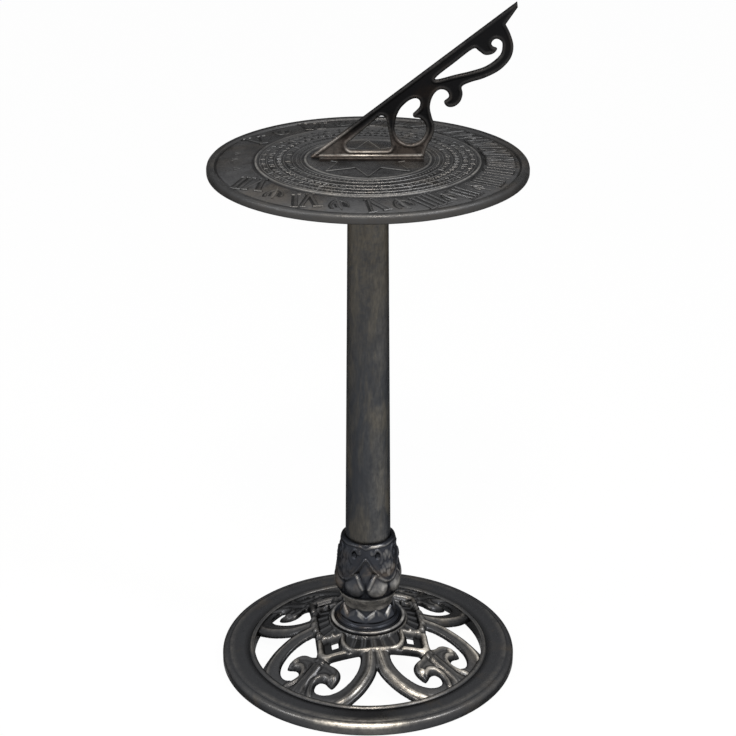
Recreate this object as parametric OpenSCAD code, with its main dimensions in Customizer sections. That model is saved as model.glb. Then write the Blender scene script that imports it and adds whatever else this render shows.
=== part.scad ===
// Garden sundial on a pedestal: openwork cast base, leaf collar, tapered column,
// round dial plate and a scrolled gnomon. The dial turns on the column head and is
// clamped by a tie rod with a wing nut under the base.
// Units are millimetres. The origin is on the floor under the column axis, +Z is up,
// and the gnomon rises towards +X, which is the dial's north.

/* [Base] */
// outer diameter of the cast base
base_d = 310; // [270:1:350]
// height of the flat top of the base rim
rim_h = 13; // [10:0.5:18]
// radial width of the base rim
rim_w = 34; // [28:1:40]
// rounding of the rim's outer top edge
rim_round = 5; // [2:0.5:8]
// wall left over the channel under the rim
rim_wall = 5; // [4:0.5:7]
// rise of the openwork from the rim to the hub
dome_rise = 32; // [20:1:45]
// thickness of the openwork
lattice_t = 6; // [5:0.5:10]
// radius of the flat hub seat
hub_r = 42; // [40.5:0.5:46]
// depth of the sunk panels around the hub
panel_depth = 3; // [1:0.5:4]
// turn of the fourfold pattern about the column
pattern_turn = 7.1; // [0:0.1:45]

/* [Collar] */
// height of the leaf collar
collar_h = 105; // [90:1:120]
// radius of the flange bead that sits on the hub
flange_r = 39.2; // [37:0.1:40]
// radius of the waist over the flange
waist_r = 25.4; // [24.5:0.1:27]
// radius of the bulb
bulb_r = 33.2; // [31:0.1:36]
// radius of the shoulder under the column
shoulder_r = 28; // [27:0.1:30]
// radius of the neck between the petals and the bulb
neck_r = 28.5; // [26:0.1:31]
// height of the ledge that carries the column, over the hub
ledge_h = 15; // [12:0.5:25]
// how far the leaves stand out of the bulb
leaf_t = 1.2; // [0.6:0.1:2]
// leaves round the collar
leaf_n = 8; // [6:1:10]
// how far the leaves are turned round the column, in degrees
leaf_turn = -3.6; // [-45:0.1:45]

/* [Column] */
// outer diameter of the column at the collar's top
column_foot_d = 46.8; // [44:0.1:50]
// outer diameter of the column at its head
column_head_d = 39.8; // [36:0.1:44]
// length of the column tube
column_l = 463; // [400:1:520]
// wall of the column tube
column_wall = 3; // [2:0.25:4]
// length of the plug in each end of the tube
plug_l = 26; // [18:1:34]
// thickness of the head plug's flange
plug_flange_t = 3; // [2:0.5:5]
// thickness of the washer that the dial turns on
thrust_t = 1.5; // [1:0.25:3]

/* [Dial] */
// diameter of the dial plate
dial_d = 310; // [280:1:340]
// height of the dial's edge
dial_edge_h = 9; // [7:0.5:12]
// rounding of the dial's edge
dial_round = 2.5; // [1:0.25:3.5]
// width of the raised rim of the dial
dial_rim_w = 8; // [6:0.5:12]
// depth of the hour ring under the rim
face_drop = 1.5; // [0.5:0.25:2.5]
// height of the centre of the dial over its rim
face_rise = 3; // [1:0.25:4]
// recess under the plate
dial_recess = 3.5; // [2:0.25:5]
// radius inside which the face is flat
medallion_r = 61; // [58:0.5:66]
// inner radius of the hour ring
hour_ring_r = 109; // [104:0.5:114]
// rise of the hour ring from its outer edge to its inner one
hour_rise = 3.1; // [1:0.1:4]
// width of the raised rings
ring_w = 3; // [2:0.25:5]
// height of the raised rings and figures
relief = 0.8; // [0.4:0.1:1.5]
// height of the hour figures
figure_h = 28; // [20:0.5:30]
// width of a figure's strokes
figure_stroke = 3; // [2:0.1:3.6]
// reach of the compass star's points
star_r = 56; // [44:1:57]

/* [Gnomon] */
// angle of the style over the dial
style_angle = 37.7; // [36.5:0.1:39]
// thickness of the gnomon plate
gnomon_t = 6; // [4:0.5:8]
// width of the gnomon's foot
foot_w = 17; // [14:0.5:22]
// height of the gnomon's foot
foot_h = 4; // [3:0.5:5]
// distance of each gnomon screw from the centre
gnomon_screw_x = 40; // [38:0.5:41]

/* [Hub and fastenings] */
// radius of the hub flange under the dial
hub_flange_r = 34; // [31.5:0.5:35]
// thickness of the hub flange
hub_flange_t = 4; // [3:0.5:6]
// length of the hub under its flange
hub_boss_l = 13; // [11:0.5:18]
// radius of the circle of hub screws
hub_screw_r = 27; // [25.5:0.25:28]
// number of hub screws
hub_screw_n = 3; // [3:1:6]
// diameter of the tie rod
rod_d = 8; // [6:0.5:10]
// diameter of the small screws
screw_d = 4; // [3:0.5:5]
// diameter of a small screw's head
screw_head_d = 7; // [6:0.5:8]
// height of a small screw's head
screw_head_h = 2.6; // [2:0.1:3]
// outer diameter of the clamp washer under the hub
clamp_d = 30; // [24:1:40]
// thickness of the clamp washer
clamp_t = 2.5; // [1.5:0.5:4]
// height of the wing nut's body
wing_nut_h = 9; // [7:0.5:12]
// reach of each wing from the rod's axis
wing_reach = 18; // [14:0.5:24]
// travel of the wing nut when it is let off
nut_travel = 5; // [3:0.5:6]

/* [Hidden] */
// radial running clearance of the rod in its two guides
run_gap = 0.08;
// radial gap of a seated piece
seat_gap = 0.1;
// radial clearance of the rod in the other bores
free_gap = 0.5;
// radial clearance of a screw in its hole
screw_gap = 0.05;
// small overlap that joins drawn shapes
eps = 0.01;
// facet counts of full rounds
fine = 96;
coarse = 48;

// small fixed sizes
lip_rise = 1;
ring_rise = 1.1;
relief_root = 0.5;
groove_depth = 0.8;
groove_w = 1.5;
ease = 0.8;
chamfer = 1;
hub_screw_bite = 5;
gnomon_screw_bite = 8;
hole_end = 0.6;
slot_w = 1;
slot_depth = 1.1;
wing_t = 3;

// heights of the stack
rod_top_gap = 0.5;
rod_tail = 4;
base_r = base_d / 2;
rim_in_r = base_r - rim_w;
lip_w = 5;
hub_z = rim_h + dome_rise;
hub_under_z = hub_z - lattice_t;
ledge_z = hub_z + ledge_h;
collar_top_z = hub_z + collar_h;
column_top_z = ledge_z + column_l;
thrust_z = column_top_z + plug_flange_t;
boss_z = thrust_z + thrust_t;
hub_seat_z = boss_z + hub_boss_l + hub_flange_t;
dial_z = hub_seat_z - dial_recess;
rim_top_z = dial_z + dial_edge_h;
hour_z = rim_top_z - face_drop;
ring_z = hour_z + hour_rise + ring_rise;
face_z = rim_top_z + face_rise;
dial_r = dial_d / 2;
rod_r = rod_d / 2;
screw_r = screw_d / 2;
nut_af = 1.625 * rod_d;
nut_h = 0.8 * rod_d;
nut_floor_z = hub_seat_z - nut_h;
rod_top_z = hub_seat_z - rod_top_gap;
nut_top_z = hub_under_z - clamp_t;
rod_bottom_z = nut_top_z - wing_nut_h - nut_travel - rod_tail;
gnomon_washer_t = 1;

// outer radius of the column at height z
column_taper = (column_foot_d - column_head_d) / 2 / (column_top_z - collar_top_z);
function column_r(z) = column_foot_d / 2 + (collar_top_z - z) * column_taper;

// smooth curve through the points, closed or open
function spline_point(a, b, c, d, t) =
  0.5 * (2 * b + (c - a) * t + (2 * a - 5 * b + 4 * c - d) * t * t
  + (3 * b - a - 3 * c + d) * t * t * t);
function closed_curve(p, steps) = [
  for (i = [0 : len(p) - 1], s = [0 : steps - 1])
    spline_point(p[(i + len(p) - 1) % len(p)], p[i], p[(i + 1) % len(p)],
      p[(i + 2) % len(p)], s / steps)
];
function open_curve(p, steps) = [
  for (i = [0 : len(p) - 2], s = [0 : steps - 1])
    spline_point(p[max(i - 1, 0)], p[i], p[i + 1], p[min(i + 2, len(p) - 1)], s / steps),
  p[len(p) - 1]
];

module ring(outer, inner, z, h, facets = fine) {
  translate([0, 0, z]) linear_extrude(height = h) difference() {
    circle(r = outer, $fn = facets);
    circle(r = inner, $fn = facets);
  }
}

// Base: points are measured on a lattice of this radius and scaled to the real one
lattice_ref_r = 121;
lattice_k = rim_in_r / lattice_ref_r;

// half of the open V between two ribs, from its point to the rim
v_edge = [[0, 77], [3.6, 85], [10.2, 94.5], [18.3, 103.3], [29.6, 112], [38, 117.5]];
// opening between a rib and a scroll arm, closing in a round hook
scroll_edge = [
  [15.6, 60.5], [16.6, 68], [20, 76], [25, 83.2], [32, 90], [40.5, 95.6], [50, 98],
  [58.5, 96.8], [64.6, 92.6], [66.4, 86.6], [63.6, 81.2], [58.8, 80], [54.4, 82.8],
  [51.6, 87.4], [48.4, 90.6], [43.4, 87.4], [39, 81.5], [38.2, 75], [41, 69],
  [46.2, 64.8], [47.6, 61.6], [45.5, 58.9], [36, 58.6], [26, 58.6], [18, 58.6]
];
// small opening in the corner between two panels
corner_edge = [
  [34, 36], [34, 43.4], [35.6, 45.2], [43.4, 45.2], [45.2, 43.4], [45.2, 35.6],
  [43.4, 34], [36, 34]
];
// panel between the hub and its rounded outer edge
panel_half_w = 28;
panel_reach = 53;
panel_round = 14;
ball_r = 4.5;
ball_at = [46.4, 81.4];

module v_opening() {
  side = open_curve(v_edge, 5);
  polygon(concat(
    [for (p = side) [p[0], p[1]]],
    [[0, lattice_ref_r]],
    [for (i = [len(side) - 1 : -1 : 1]) [-side[i][0], side[i][1]]]
  ));
}

module lattice_openings() {
  for (quarter = [0 : 3]) rotate(90 * quarter) scale(lattice_k) {
    intersection() {
      v_opening();
      circle(r = lattice_ref_r, $fn = fine);
    }
    polygon(closed_curve(scroll_edge, 3));
    polygon([for (p = closed_curve(scroll_edge, 3)) [p[1], p[0]]]);
    polygon(closed_curve(corner_edge, 3));
  }
}

module panel_shape() {
  difference() {
    union() {
      translate([-panel_half_w, 0]) square([2 * panel_half_w, panel_reach - panel_round]);
      translate([panel_round - panel_half_w, 0])
        square([2 * (panel_half_w - panel_round), panel_reach]);
      for (side = [-1, 1])
        translate([side * (panel_half_w - panel_round), panel_reach - panel_round])
          circle(r = panel_round, $fn = coarse);
    }
    circle(r = hub_r / lattice_k, $fn = fine);
    for (side = [-1, 1]) rotate(side * 45) translate([-panel_half_w, 0])
      square([2 * panel_half_w, 2 * panel_reach]);
  }
}

// cone shell from the rim to the hub, its top lowered by drop
module dome_shell(drop, thick) {
  slope = dome_rise / (rim_in_r - hub_r);
  low = rim_h - lip_w / 2 * slope - drop;
  rotate_extrude($fn = fine) polygon([
    [0, hub_z - drop], [hub_r, hub_z - drop], [rim_in_r + lip_w / 2, low],
    [rim_in_r + lip_w / 2, low - thick], [hub_r, hub_z - drop - thick],
    [0, hub_z - drop - thick]
  ]);
}

module rim() {
  rotate_extrude($fn = fine) difference() {
    union() {
      translate([rim_in_r, 0]) square([rim_w - rim_round, rim_h]);
      translate([rim_in_r, 0]) square([rim_w, rim_h - rim_round]);
      translate([base_r - rim_round, rim_h - rim_round]) circle(r = rim_round, $fn = coarse);
      translate([rim_in_r, 0]) square([lip_w, rim_h + lip_rise]);
    }
    translate([rim_in_r + rim_wall, -1])
      square([rim_w - 2 * rim_wall, rim_h - rim_wall + 1]);
  }
}

module base_casting() {
  color([0.16, 0.15, 0.14]) difference() {
    union() {
      rim();
      rotate(pattern_turn) {
        difference() {
          intersection() {
            dome_shell(0, lattice_t);
            linear_extrude(height = 2 * hub_z) difference() {
              circle(r = rim_in_r + lip_w / 2, $fn = fine);
              lattice_openings();
            }
          }
          intersection() {
            translate([0, 0, panel_depth]) dome_shell(0, 2 * panel_depth);
            linear_extrude(height = 2 * hub_z)
              for (quarter = [0 : 3]) rotate(90 * quarter) scale(lattice_k) panel_shape();
          }
        }
        for (quarter = [0 : 3], side = [0, 1])
          rotate(90 * quarter) mirror([side, -side, 0])
            translate([
              ball_at[0] * lattice_k, ball_at[1] * lattice_k,
              hub_z - (norm(ball_at) * lattice_k - hub_r) * dome_rise / (rim_in_r - hub_r)
                - ball_r / 4
            ]) sphere(r = ball_r, $fn = coarse);
      }
    }
    translate([0, 0, -1]) cylinder(r = rod_r + run_gap, h = 2 * hub_z, $fn = coarse);
  }
}

// Collar: outline of the body from the flange up to the shoulder
bead_h = 4;
bead_r = 1.5;
collar_edge = 1.6;
function collar_outline(extra) = concat(
  [[flange_r, hub_z]],
  [for (a = [0 : 15 : 90])
    [flange_r - bead_r + bead_r * cos(a), hub_z + bead_h - bead_r + bead_r * sin(a)]],
  open_curve([
    [flange_r - bead_h, hub_z + 0.8 * bead_h], [flange_r - 7, hub_z + 0.07 * collar_h],
    [waist_r + 3, hub_z + 0.13 * collar_h], [waist_r + extra, hub_z + 0.2 * collar_h],
    [neck_r + extra, hub_z + 0.276 * collar_h],
    [0.95 * bulb_r + extra, hub_z + 0.36 * collar_h],
    [bulb_r + extra, hub_z + 0.452 * collar_h],
    [0.97 * bulb_r + extra, hub_z + 0.58 * collar_h],
    [shoulder_r + 1 + extra, hub_z + 0.76 * collar_h],
    [shoulder_r + extra / 2, hub_z + 0.94 * collar_h],
    [column_r(collar_top_z) + collar_edge, collar_top_z]
  ], 3)
);

module leaf_shape(z0, z1, half_w) {
  polygon(open_curve([
    [0, z0], [0.62 * half_w, z0 + 0.1 * (z1 - z0)], [half_w, z0 + 0.38 * (z1 - z0)],
    [0.72 * half_w, z0 + 0.68 * (z1 - z0)], [0.2 * half_w, z0 + 0.9 * (z1 - z0)], [0, z1],
    [-0.2 * half_w, z0 + 0.9 * (z1 - z0)], [-0.72 * half_w, z0 + 0.68 * (z1 - z0)],
    [-half_w, z0 + 0.38 * (z1 - z0)], [-0.62 * half_w, z0 + 0.1 * (z1 - z0)], [0, z0]
  ], 3));
}

module leaf_collar() {
  bore_low = column_r(ledge_z) + seat_gap;
  bore_high = column_r(collar_top_z) + seat_gap;
  leaf_half_w = 3.1 * bulb_r / leaf_n;
  color([0.17, 0.15, 0.13]) difference() {
    union() {
      rotate_extrude($fn = fine)
        polygon(concat([[0, hub_z]], collar_outline(0), [[0, collar_top_z]]));
      intersection() {
        rotate_extrude($fn = fine)
          polygon(concat([[0, hub_z]], collar_outline(leaf_t), [[0, collar_top_z]]));
        for (i = [0 : leaf_n - 1]) rotate([90, 0, 360 / leaf_n * i + leaf_turn])
          linear_extrude(height = 2 * flange_r)
            leaf_shape(hub_z + 0.2 * collar_h, hub_z + 0.95 * collar_h, leaf_half_w);
      }
    }
    rotate_extrude($fn = fine) polygon([
      [0, ledge_z], [bore_low, ledge_z], [bore_high, collar_top_z],
      [bore_high, collar_top_z + 1], [0, collar_top_z + 1]
    ]);
    translate([0, 0, hub_z - 1])
      cylinder(r = rod_r + free_gap, h = ledge_h + 2, $fn = coarse);
  }
}

// Column: tapered tube with a plug in each end
module column_tube() {
  color([0.28, 0.24, 0.20]) rotate_extrude($fn = fine) polygon([
    [column_r(ledge_z) - column_wall, ledge_z], [column_r(ledge_z), ledge_z],
    [column_r(column_top_z), column_top_z],
    [column_r(column_top_z) - column_wall, column_top_z]
  ]);
}

module plug(z0, z1, bore) {
  inset = column_wall + seat_gap;
  rotate_extrude($fn = fine) polygon([
    [bore, z0], [column_r(z0) - inset, z0], [column_r(z1) - inset, z1], [bore, z1]
  ]);
}

module foot_plug() {
  color([0.35, 0.34, 0.33]) plug(ledge_z, ledge_z + plug_l, rod_r + free_gap);
}

module top_plug() {
  bore = rod_r + run_gap;
  color([0.35, 0.34, 0.33]) {
    plug(column_top_z - plug_l, column_top_z + eps, bore);
    ring(column_r(column_top_z), bore, column_top_z, plug_flange_t);
  }
}

module thrust_washer() {
  color([0.85, 0.84, 0.80])
    ring(column_r(column_top_z) - 0.8, rod_r + free_gap, thrust_z, thrust_t);
}

// Dial: plate with raised rings, hour figures and a compass star
function hour_angle(h) = atan2(sin(style_angle) * sin(15 * h), cos(15 * h));

// where the figures stand round the dial, in degrees either way from noon
hour_place = [0, 13.6, 28.2, 46, 63.5, 87.5, 116, 148];
hour_out_r = dial_r - dial_rim_w - groove_w - ease;
figure_mid_r = (hour_ring_r + dial_r - dial_rim_w) / 2 - 0.5;

module figure_stroke_at(x0, x1) {
  h = figure_h / 2;
  s = figure_stroke / 2;
  polygon([[x0 - s, -h], [x0 + s, -h], [x1 + s, h], [x1 - s, h]]);
}

// widths that the signs of a figure take
function sign_w(c) =
  c == "I" ? 2 * figure_stroke : c == "V" ? 0.68 * figure_h : 0.5 * figure_h;
function signs_w(s, n) = n == 0 ? 0 : signs_w(s, n - 1) + sign_w(s[n - 1]);

module figure(s) {
  for (i = [0 : len(s) - 1]) {
    x = signs_w(s, i) + sign_w(s[i]) / 2 - signs_w(s, len(s)) / 2;
    d = 0.4 * sign_w(s[i]);
    if (s[i] == "I") figure_stroke_at(x, x);
    if (s[i] == "V") {
      figure_stroke_at(x, x - d);
      figure_stroke_at(x, x + d);
    }
    if (s[i] == "X") {
      figure_stroke_at(x - 0.8 * d, x + 0.8 * d);
      figure_stroke_at(x + 0.8 * d, x - 0.8 * d);
    }
  }
}

figures = ["XII", "I", "II", "III", "IIII", "V", "VI", "VII"];
morning = ["XII", "XI", "X", "IX", "VIII", "VII", "VI", "V"];

// a figure stands along its hour line, its top outward
module figure_at(s, side, h) {
  rotate(side * hour_place[h]) translate([figure_mid_r, 0])
    rotate(side * (hour_angle(h) - hour_place[h]) - 90) figure(s);
}

module hour_figures() {
  for (h = [0 : len(figures) - 1]) {
    figure_at(figures[h], -1, h);
    if (h > 0) figure_at(morning[h], 1, h);
  }
}

// thin cone over the sloping hour ring, for the figures
module hour_shell() {
  rotate_extrude($fn = 2 * fine) polygon([
    [hour_ring_r, hour_z + hour_rise - relief_root], [hour_out_r, hour_z - relief_root],
    [hour_out_r, hour_z + relief], [hour_ring_r, hour_z + hour_rise + relief]
  ]);
}

module compass_star() {
  waist = 0.55 * star_r;
  difference() {
    polygon([for (i = [0 : 15]) (i % 2 == 0 ? star_r : waist)
      * [cos(22.5 * i), sin(22.5 * i)]]);
    square([2 * star_r + 2, foot_w + 1], center = true);
  }
}

module dial_body() {
  edge_lo = dial_z + dial_round / 2;
  edge_hi = rim_top_z - dial_round;
  rim_in = dial_r - dial_rim_w;
  rotate_extrude($fn = 2 * fine) polygon(concat(
    [[0, hub_seat_z], [rim_in, hub_seat_z], [rim_in, dial_z],
      [dial_r - dial_round / 2, dial_z], [dial_r, edge_lo]],
    [for (a = [0 : 15 : 90]) [dial_r - dial_round + dial_round * cos(a),
      edge_hi + dial_round * sin(a)]],
    [[rim_in + ease, rim_top_z], [rim_in, hour_z - groove_depth],
      [rim_in - groove_w, hour_z - groove_depth], [hour_out_r, hour_z],
      [hour_ring_r, hour_z + hour_rise], [hour_ring_r, ring_z],
      [hour_ring_r - ring_w, ring_z], [hour_ring_r - ring_w - ease, ring_z - relief],
      [medallion_r + ease, face_z], [medallion_r, face_z + relief],
      [medallion_r - ring_w, face_z + relief], [medallion_r - ring_w - ease, face_z],
      [0, face_z]]
  ));
}

module dial_plate() {
  color([0.20, 0.20, 0.21]) difference() {
    union() {
      dial_body();
      intersection() {
        hour_shell();
        translate([0, 0, dial_z]) linear_extrude(height = 3 * dial_edge_h) hour_figures();
      }
      translate([0, 0, face_z - relief_root])
        linear_extrude(height = relief + relief_root) compass_star();
    }
    for (side = [-1, 1]) translate([side * gnomon_screw_x, 0, dial_z])
      cylinder(r = screw_r + screw_gap, h = 4 * dial_edge_h, $fn = coarse);
    for (i = [0 : hub_screw_n - 1]) rotate(360 / hub_screw_n * (i + 0.5))
      translate([hub_screw_r, 0, dial_z])
        cylinder(r = screw_r + screw_gap,
          h = hub_seat_z - dial_z + hub_screw_bite + hole_end, $fn = coarse);
  }
}

module dial_hub() {
  boss_r = column_head_d / 2;
  color([0.32, 0.31, 0.30]) difference() {
    rotate_extrude($fn = fine) polygon([
      [0, boss_z], [boss_r - chamfer, boss_z], [boss_r, boss_z + chamfer],
      [boss_r, hub_seat_z - hub_flange_t - chamfer],
      [boss_r + chamfer, hub_seat_z - hub_flange_t],
      [hub_flange_r, hub_seat_z - hub_flange_t], [hub_flange_r, hub_seat_z], [0, hub_seat_z]
    ]);
    translate([0, 0, boss_z - 1])
      cylinder(r = rod_r + screw_gap, h = hub_boss_l + hub_flange_t + 2, $fn = coarse);
    translate([0, 0, nut_floor_z]) cylinder(r = 0.62 * nut_af, h = nut_h + 1, $fn = coarse);
    for (i = [0 : hub_screw_n - 1]) rotate(360 / hub_screw_n * (i + 0.5))
      translate([hub_screw_r, 0, hub_seat_z - hub_flange_t - 1])
        cylinder(r = screw_r + screw_gap, h = hub_flange_t + 2, $fn = coarse);
  }
}

// small screw with its head's bearing face at z = 0, pointing up
module small_screw(length) {
  difference() {
    union() {
      cylinder(r = screw_r, h = length, $fn = coarse);
      translate([0, 0, -screw_head_h])
        cylinder(r1 = screw_head_d / 2 - 0.5, r2 = screw_head_d / 2, h = screw_head_h,
          $fn = coarse);
    }
    translate([-screw_head_d, -slot_w / 2, -screw_head_h - slot_depth])
      cube([2 * screw_head_d, slot_w, 2 * slot_depth]);
  }
}

module hub_screws() {
  color([0.55, 0.54, 0.52])
    for (i = [0 : hub_screw_n - 1]) rotate(360 / hub_screw_n * (i + 0.5))
      translate([hub_screw_r, 0, hub_seat_z - hub_flange_t])
        small_screw(hub_flange_t + hub_screw_bite);
}

// Gnomon: heights are measured over the dial's face
style_x0 = -54.6;
style_z0 = 3;
style_x1 = 138.3;
function style_z(x) = style_z0 + (x - style_x0) * tan(style_angle);

// back of the plate, from the tip down to the foot
back_edge = [
  [128, 130.9], [132.9, 121.5], [136, 110.3], [133.4, 98.4], [123.6, 87.4], [109.2, 79.8],
  [97, 76], [88.6, 71.6], [89.4, 64.5], [87.2, 57], [81.6, 52.2], [75.4, 52], [72, 56.4],
  [76.4, 60.6], [75.6, 65.6], [71.6, 68.6], [66, 68], [61, 62], [58.6, 52],
  [60.4, 42], [63.2, 33], [62, 24], [58, 16], [55, 8], [53.4, 2]
];
// teardrop opening under the style, closing in a round hook
upper_opening = [
  [65, 77.8], [64.8, 81.4], [80.6, 94.2], [98, 107.8], [103.4, 106], [109.6, 102],
  [117, 103.2], [120.8, 107.8], [117, 109.6], [115.3, 113], [117.2, 116.3], [120.6, 117.3],
  [124.2, 115.4], [125.8, 111], [123.8, 101.2], [112, 91.2], [97.6, 86], [82, 82.2]
];
// round opening with a leaf-shaped one over it
round_opening = [
  [25.3, 30], [25.8, 37], [27.6, 44], [31.4, 51.2], [38.6, 58], [45.2, 60.2], [49, 57.6],
  [49, 51.6], [45.4, 47.2], [42.6, 44.2], [44, 41.4], [49, 40.6], [53.6, 36.6],
  [55.4, 30], [53.3, 22.4], [47.8, 17], [40.4, 15], [33, 17], [27.5, 22.4]
];
// rounded triangle between the style and the foot
triangle_corner = [[-16, 13.2], [17.8, 13.2], [12.8, 38.6]];
triangle_round = 4.6;

module triangle_opening() {
  polygon([for (i = [0 : 2], s = [0 : 6])
    let (
      p = triangle_corner[i],
      a = triangle_corner[(i + 2) % 3],
      b = triangle_corner[(i + 1) % 3],
      out_a = atan2(p[1] - a[1], p[0] - a[0]) - 90,
      out_b = atan2(b[1] - p[1], b[0] - p[0]) - 90,
      sweep = out_b < out_a ? out_b + 360 - out_a : out_b - out_a,
      turn = out_a + sweep * s / 6
    ) p + triangle_round * [cos(turn), sin(turn)]
  ]);
}

module gnomon_outline() {
  difference() {
    polygon(concat(
      [[style_x0, 2], [style_x0, style_z0], [style_x1, style_z(style_x1)],
        [style_x1 + 0.6, style_z(style_x1) - 5]],
      open_curve(back_edge, 3)
    ));
    polygon(closed_curve(upper_opening, 3));
    polygon(closed_curve(round_opening, 3));
    triangle_opening();
  }
}

module gnomon() {
  foot_x0 = style_x0 + 8;
  foot_x1 = 53.4;
  color([0.13, 0.11, 0.10]) difference() {
    translate([0, 0, face_z]) union() {
      rotate([90, 0, 0]) translate([0, 0, -gnomon_t / 2])
        linear_extrude(height = gnomon_t) gnomon_outline();
      translate([foot_x0, -foot_w / 2, 0]) cube([foot_x1 - foot_x0, foot_w, foot_h]);
    }
    for (side = [-1, 1]) translate([side * gnomon_screw_x, 0, face_z - 1])
      cylinder(r = screw_r + screw_gap, h = 1 + gnomon_screw_bite + hole_end, $fn = coarse);
  }
}

module gnomon_washers() {
  color([0.60, 0.59, 0.57])
    for (side = [-1, 1]) translate([side * gnomon_screw_x, 0, 0])
      ring(screw_r + 2.4, screw_r + screw_gap, hub_seat_z - gnomon_washer_t,
        gnomon_washer_t, coarse);
}

module gnomon_screws() {
  color([0.55, 0.54, 0.52])
    for (side = [-1, 1])
      translate([side * gnomon_screw_x, 0, hub_seat_z - gnomon_washer_t])
        small_screw(face_z - hub_seat_z + gnomon_washer_t + gnomon_screw_bite);
}

// Tie rod, its lock nut in the dial hub, and the clamp under the base
module tie_rod() {
  color([0.62, 0.61, 0.58]) rotate_extrude($fn = coarse) polygon([
    [0, rod_bottom_z], [rod_r - chamfer, rod_bottom_z], [rod_r, rod_bottom_z + chamfer],
    [rod_r, rod_top_z - chamfer], [rod_r - chamfer, rod_top_z], [0, rod_top_z]
  ]);
}

module lock_nut() {
  color([0.62, 0.61, 0.58]) translate([0, 0, nut_floor_z]) difference() {
    intersection() {
      cylinder(r = nut_af / sqrt(3), h = nut_h, $fn = 6);
      cylinder(r1 = nut_af / 2 + 0.3, r2 = nut_af / 2 + 0.3 + nut_h, h = nut_h,
        $fn = coarse);
    }
    translate([0, 0, -1]) cylinder(r = rod_r + screw_gap, h = nut_h + 2, $fn = coarse);
  }
}

module clamp_washer() {
  color([0.60, 0.59, 0.57])
    ring(clamp_d / 2, rod_r + run_gap, nut_top_z, clamp_t, coarse);
}

module wing_nut() {
  body_r = 0.9 * rod_d;
  tip_r = wing_reach / 4;
  color([0.62, 0.58, 0.45]) translate([0, 0, nut_top_z - wing_nut_h]) difference() {
    union() {
      cylinder(r1 = body_r - 1, r2 = body_r, h = wing_nut_h, $fn = coarse);
      rotate([90, 0, 0]) translate([0, 0, -wing_t / 2]) linear_extrude(height = wing_t)
        for (side = [-1, 1]) scale([side, 1]) {
          polygon([
            [body_r - wing_t, 0.7 * wing_nut_h], [wing_reach - tip_r, 1 + tip_r],
            [wing_reach - tip_r, 1 - tip_r], [body_r - wing_t, 1]
          ]);
          translate([wing_reach - tip_r, 1]) circle(r = tip_r, $fn = coarse);
        }
    }
    translate([0, 0, -5]) cylinder(r = rod_r + run_gap, h = wing_nut_h + 10, $fn = coarse);
  }
}

base_casting();
leaf_collar();
column_tube();
foot_plug();
top_plug();
thrust_washer();
dial_plate();
dial_hub();
hub_screws();
gnomon();
gnomon_screws();
gnomon_washers();
tie_rod();
lock_nut();
clamp_washer();
wing_nut();
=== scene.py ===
"""Garden sundial on a pedestal, dressed for the render.

Blender works in metres. Shapes are worked out in millimetres, as on a drawing, and scaled
by MM when their mesh is made. The column's axis is the Z axis and the floor is at zero.
Each point of a mesh carries two values that the paint reads: the first says how far it is worn
bright and painted with a highlight, the second how much painted shade lies there.
"""

import math

import bmesh
import bpy
import numpy as np
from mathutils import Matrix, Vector


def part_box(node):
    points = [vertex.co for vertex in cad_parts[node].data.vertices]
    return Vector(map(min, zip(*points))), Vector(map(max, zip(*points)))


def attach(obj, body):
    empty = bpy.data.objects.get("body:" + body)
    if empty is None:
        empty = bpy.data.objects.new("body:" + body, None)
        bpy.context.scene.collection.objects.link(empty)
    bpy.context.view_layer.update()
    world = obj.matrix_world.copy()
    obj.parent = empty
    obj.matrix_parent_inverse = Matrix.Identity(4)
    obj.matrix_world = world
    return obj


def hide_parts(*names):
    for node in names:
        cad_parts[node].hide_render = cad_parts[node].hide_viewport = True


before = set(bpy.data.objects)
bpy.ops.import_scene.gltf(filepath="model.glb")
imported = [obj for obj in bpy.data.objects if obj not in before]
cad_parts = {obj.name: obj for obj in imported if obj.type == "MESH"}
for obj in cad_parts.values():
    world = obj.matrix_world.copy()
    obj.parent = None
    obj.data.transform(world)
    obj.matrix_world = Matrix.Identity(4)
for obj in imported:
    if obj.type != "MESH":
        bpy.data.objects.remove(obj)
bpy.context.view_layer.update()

MM = 0.001


def top_of(node):
    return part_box(node)[1][2] / MM


def bottom_of(node):
    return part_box(node)[0][2] / MM


def reach_of(node):
    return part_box(node)[1][0] / MM


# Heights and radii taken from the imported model
BASE_R = reach_of("base_casting")
HUB_Z = top_of("base_casting")
COLLAR_TOP = top_of("leaf_collar")
COLUMN_FOOT = bottom_of("column_tube")
COLUMN_TOP = top_of("column_tube")
DIAL_R = reach_of("dial_plate")
DIAL_Z = bottom_of("dial_plate")
FACE_Z = bottom_of("gnomon")
HUB_SEAT_Z = top_of("dial_hub")

# Camera, fitted to the circles of the dial and the base
CAMERA_PLACE = (0.0, -1.7915, 1.1263)
CAMERA_PITCH = 23.863
CAMERA_LENS = 95.47
SENSOR_WIDTH = 36.0

# Base
RIM_IN_R = 121.0
LIP_W = 5.0
LIP_Z = 14.0
RIM_Z = 13.0
RIM_WALL = 5.0
RIM_ROUND = 5.0
HUB_R = 42.0
# the rod's hole through the hub, and the bead round the hub
BORE_R = 4.6
HUB_BEAD_R = 40.9

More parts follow.
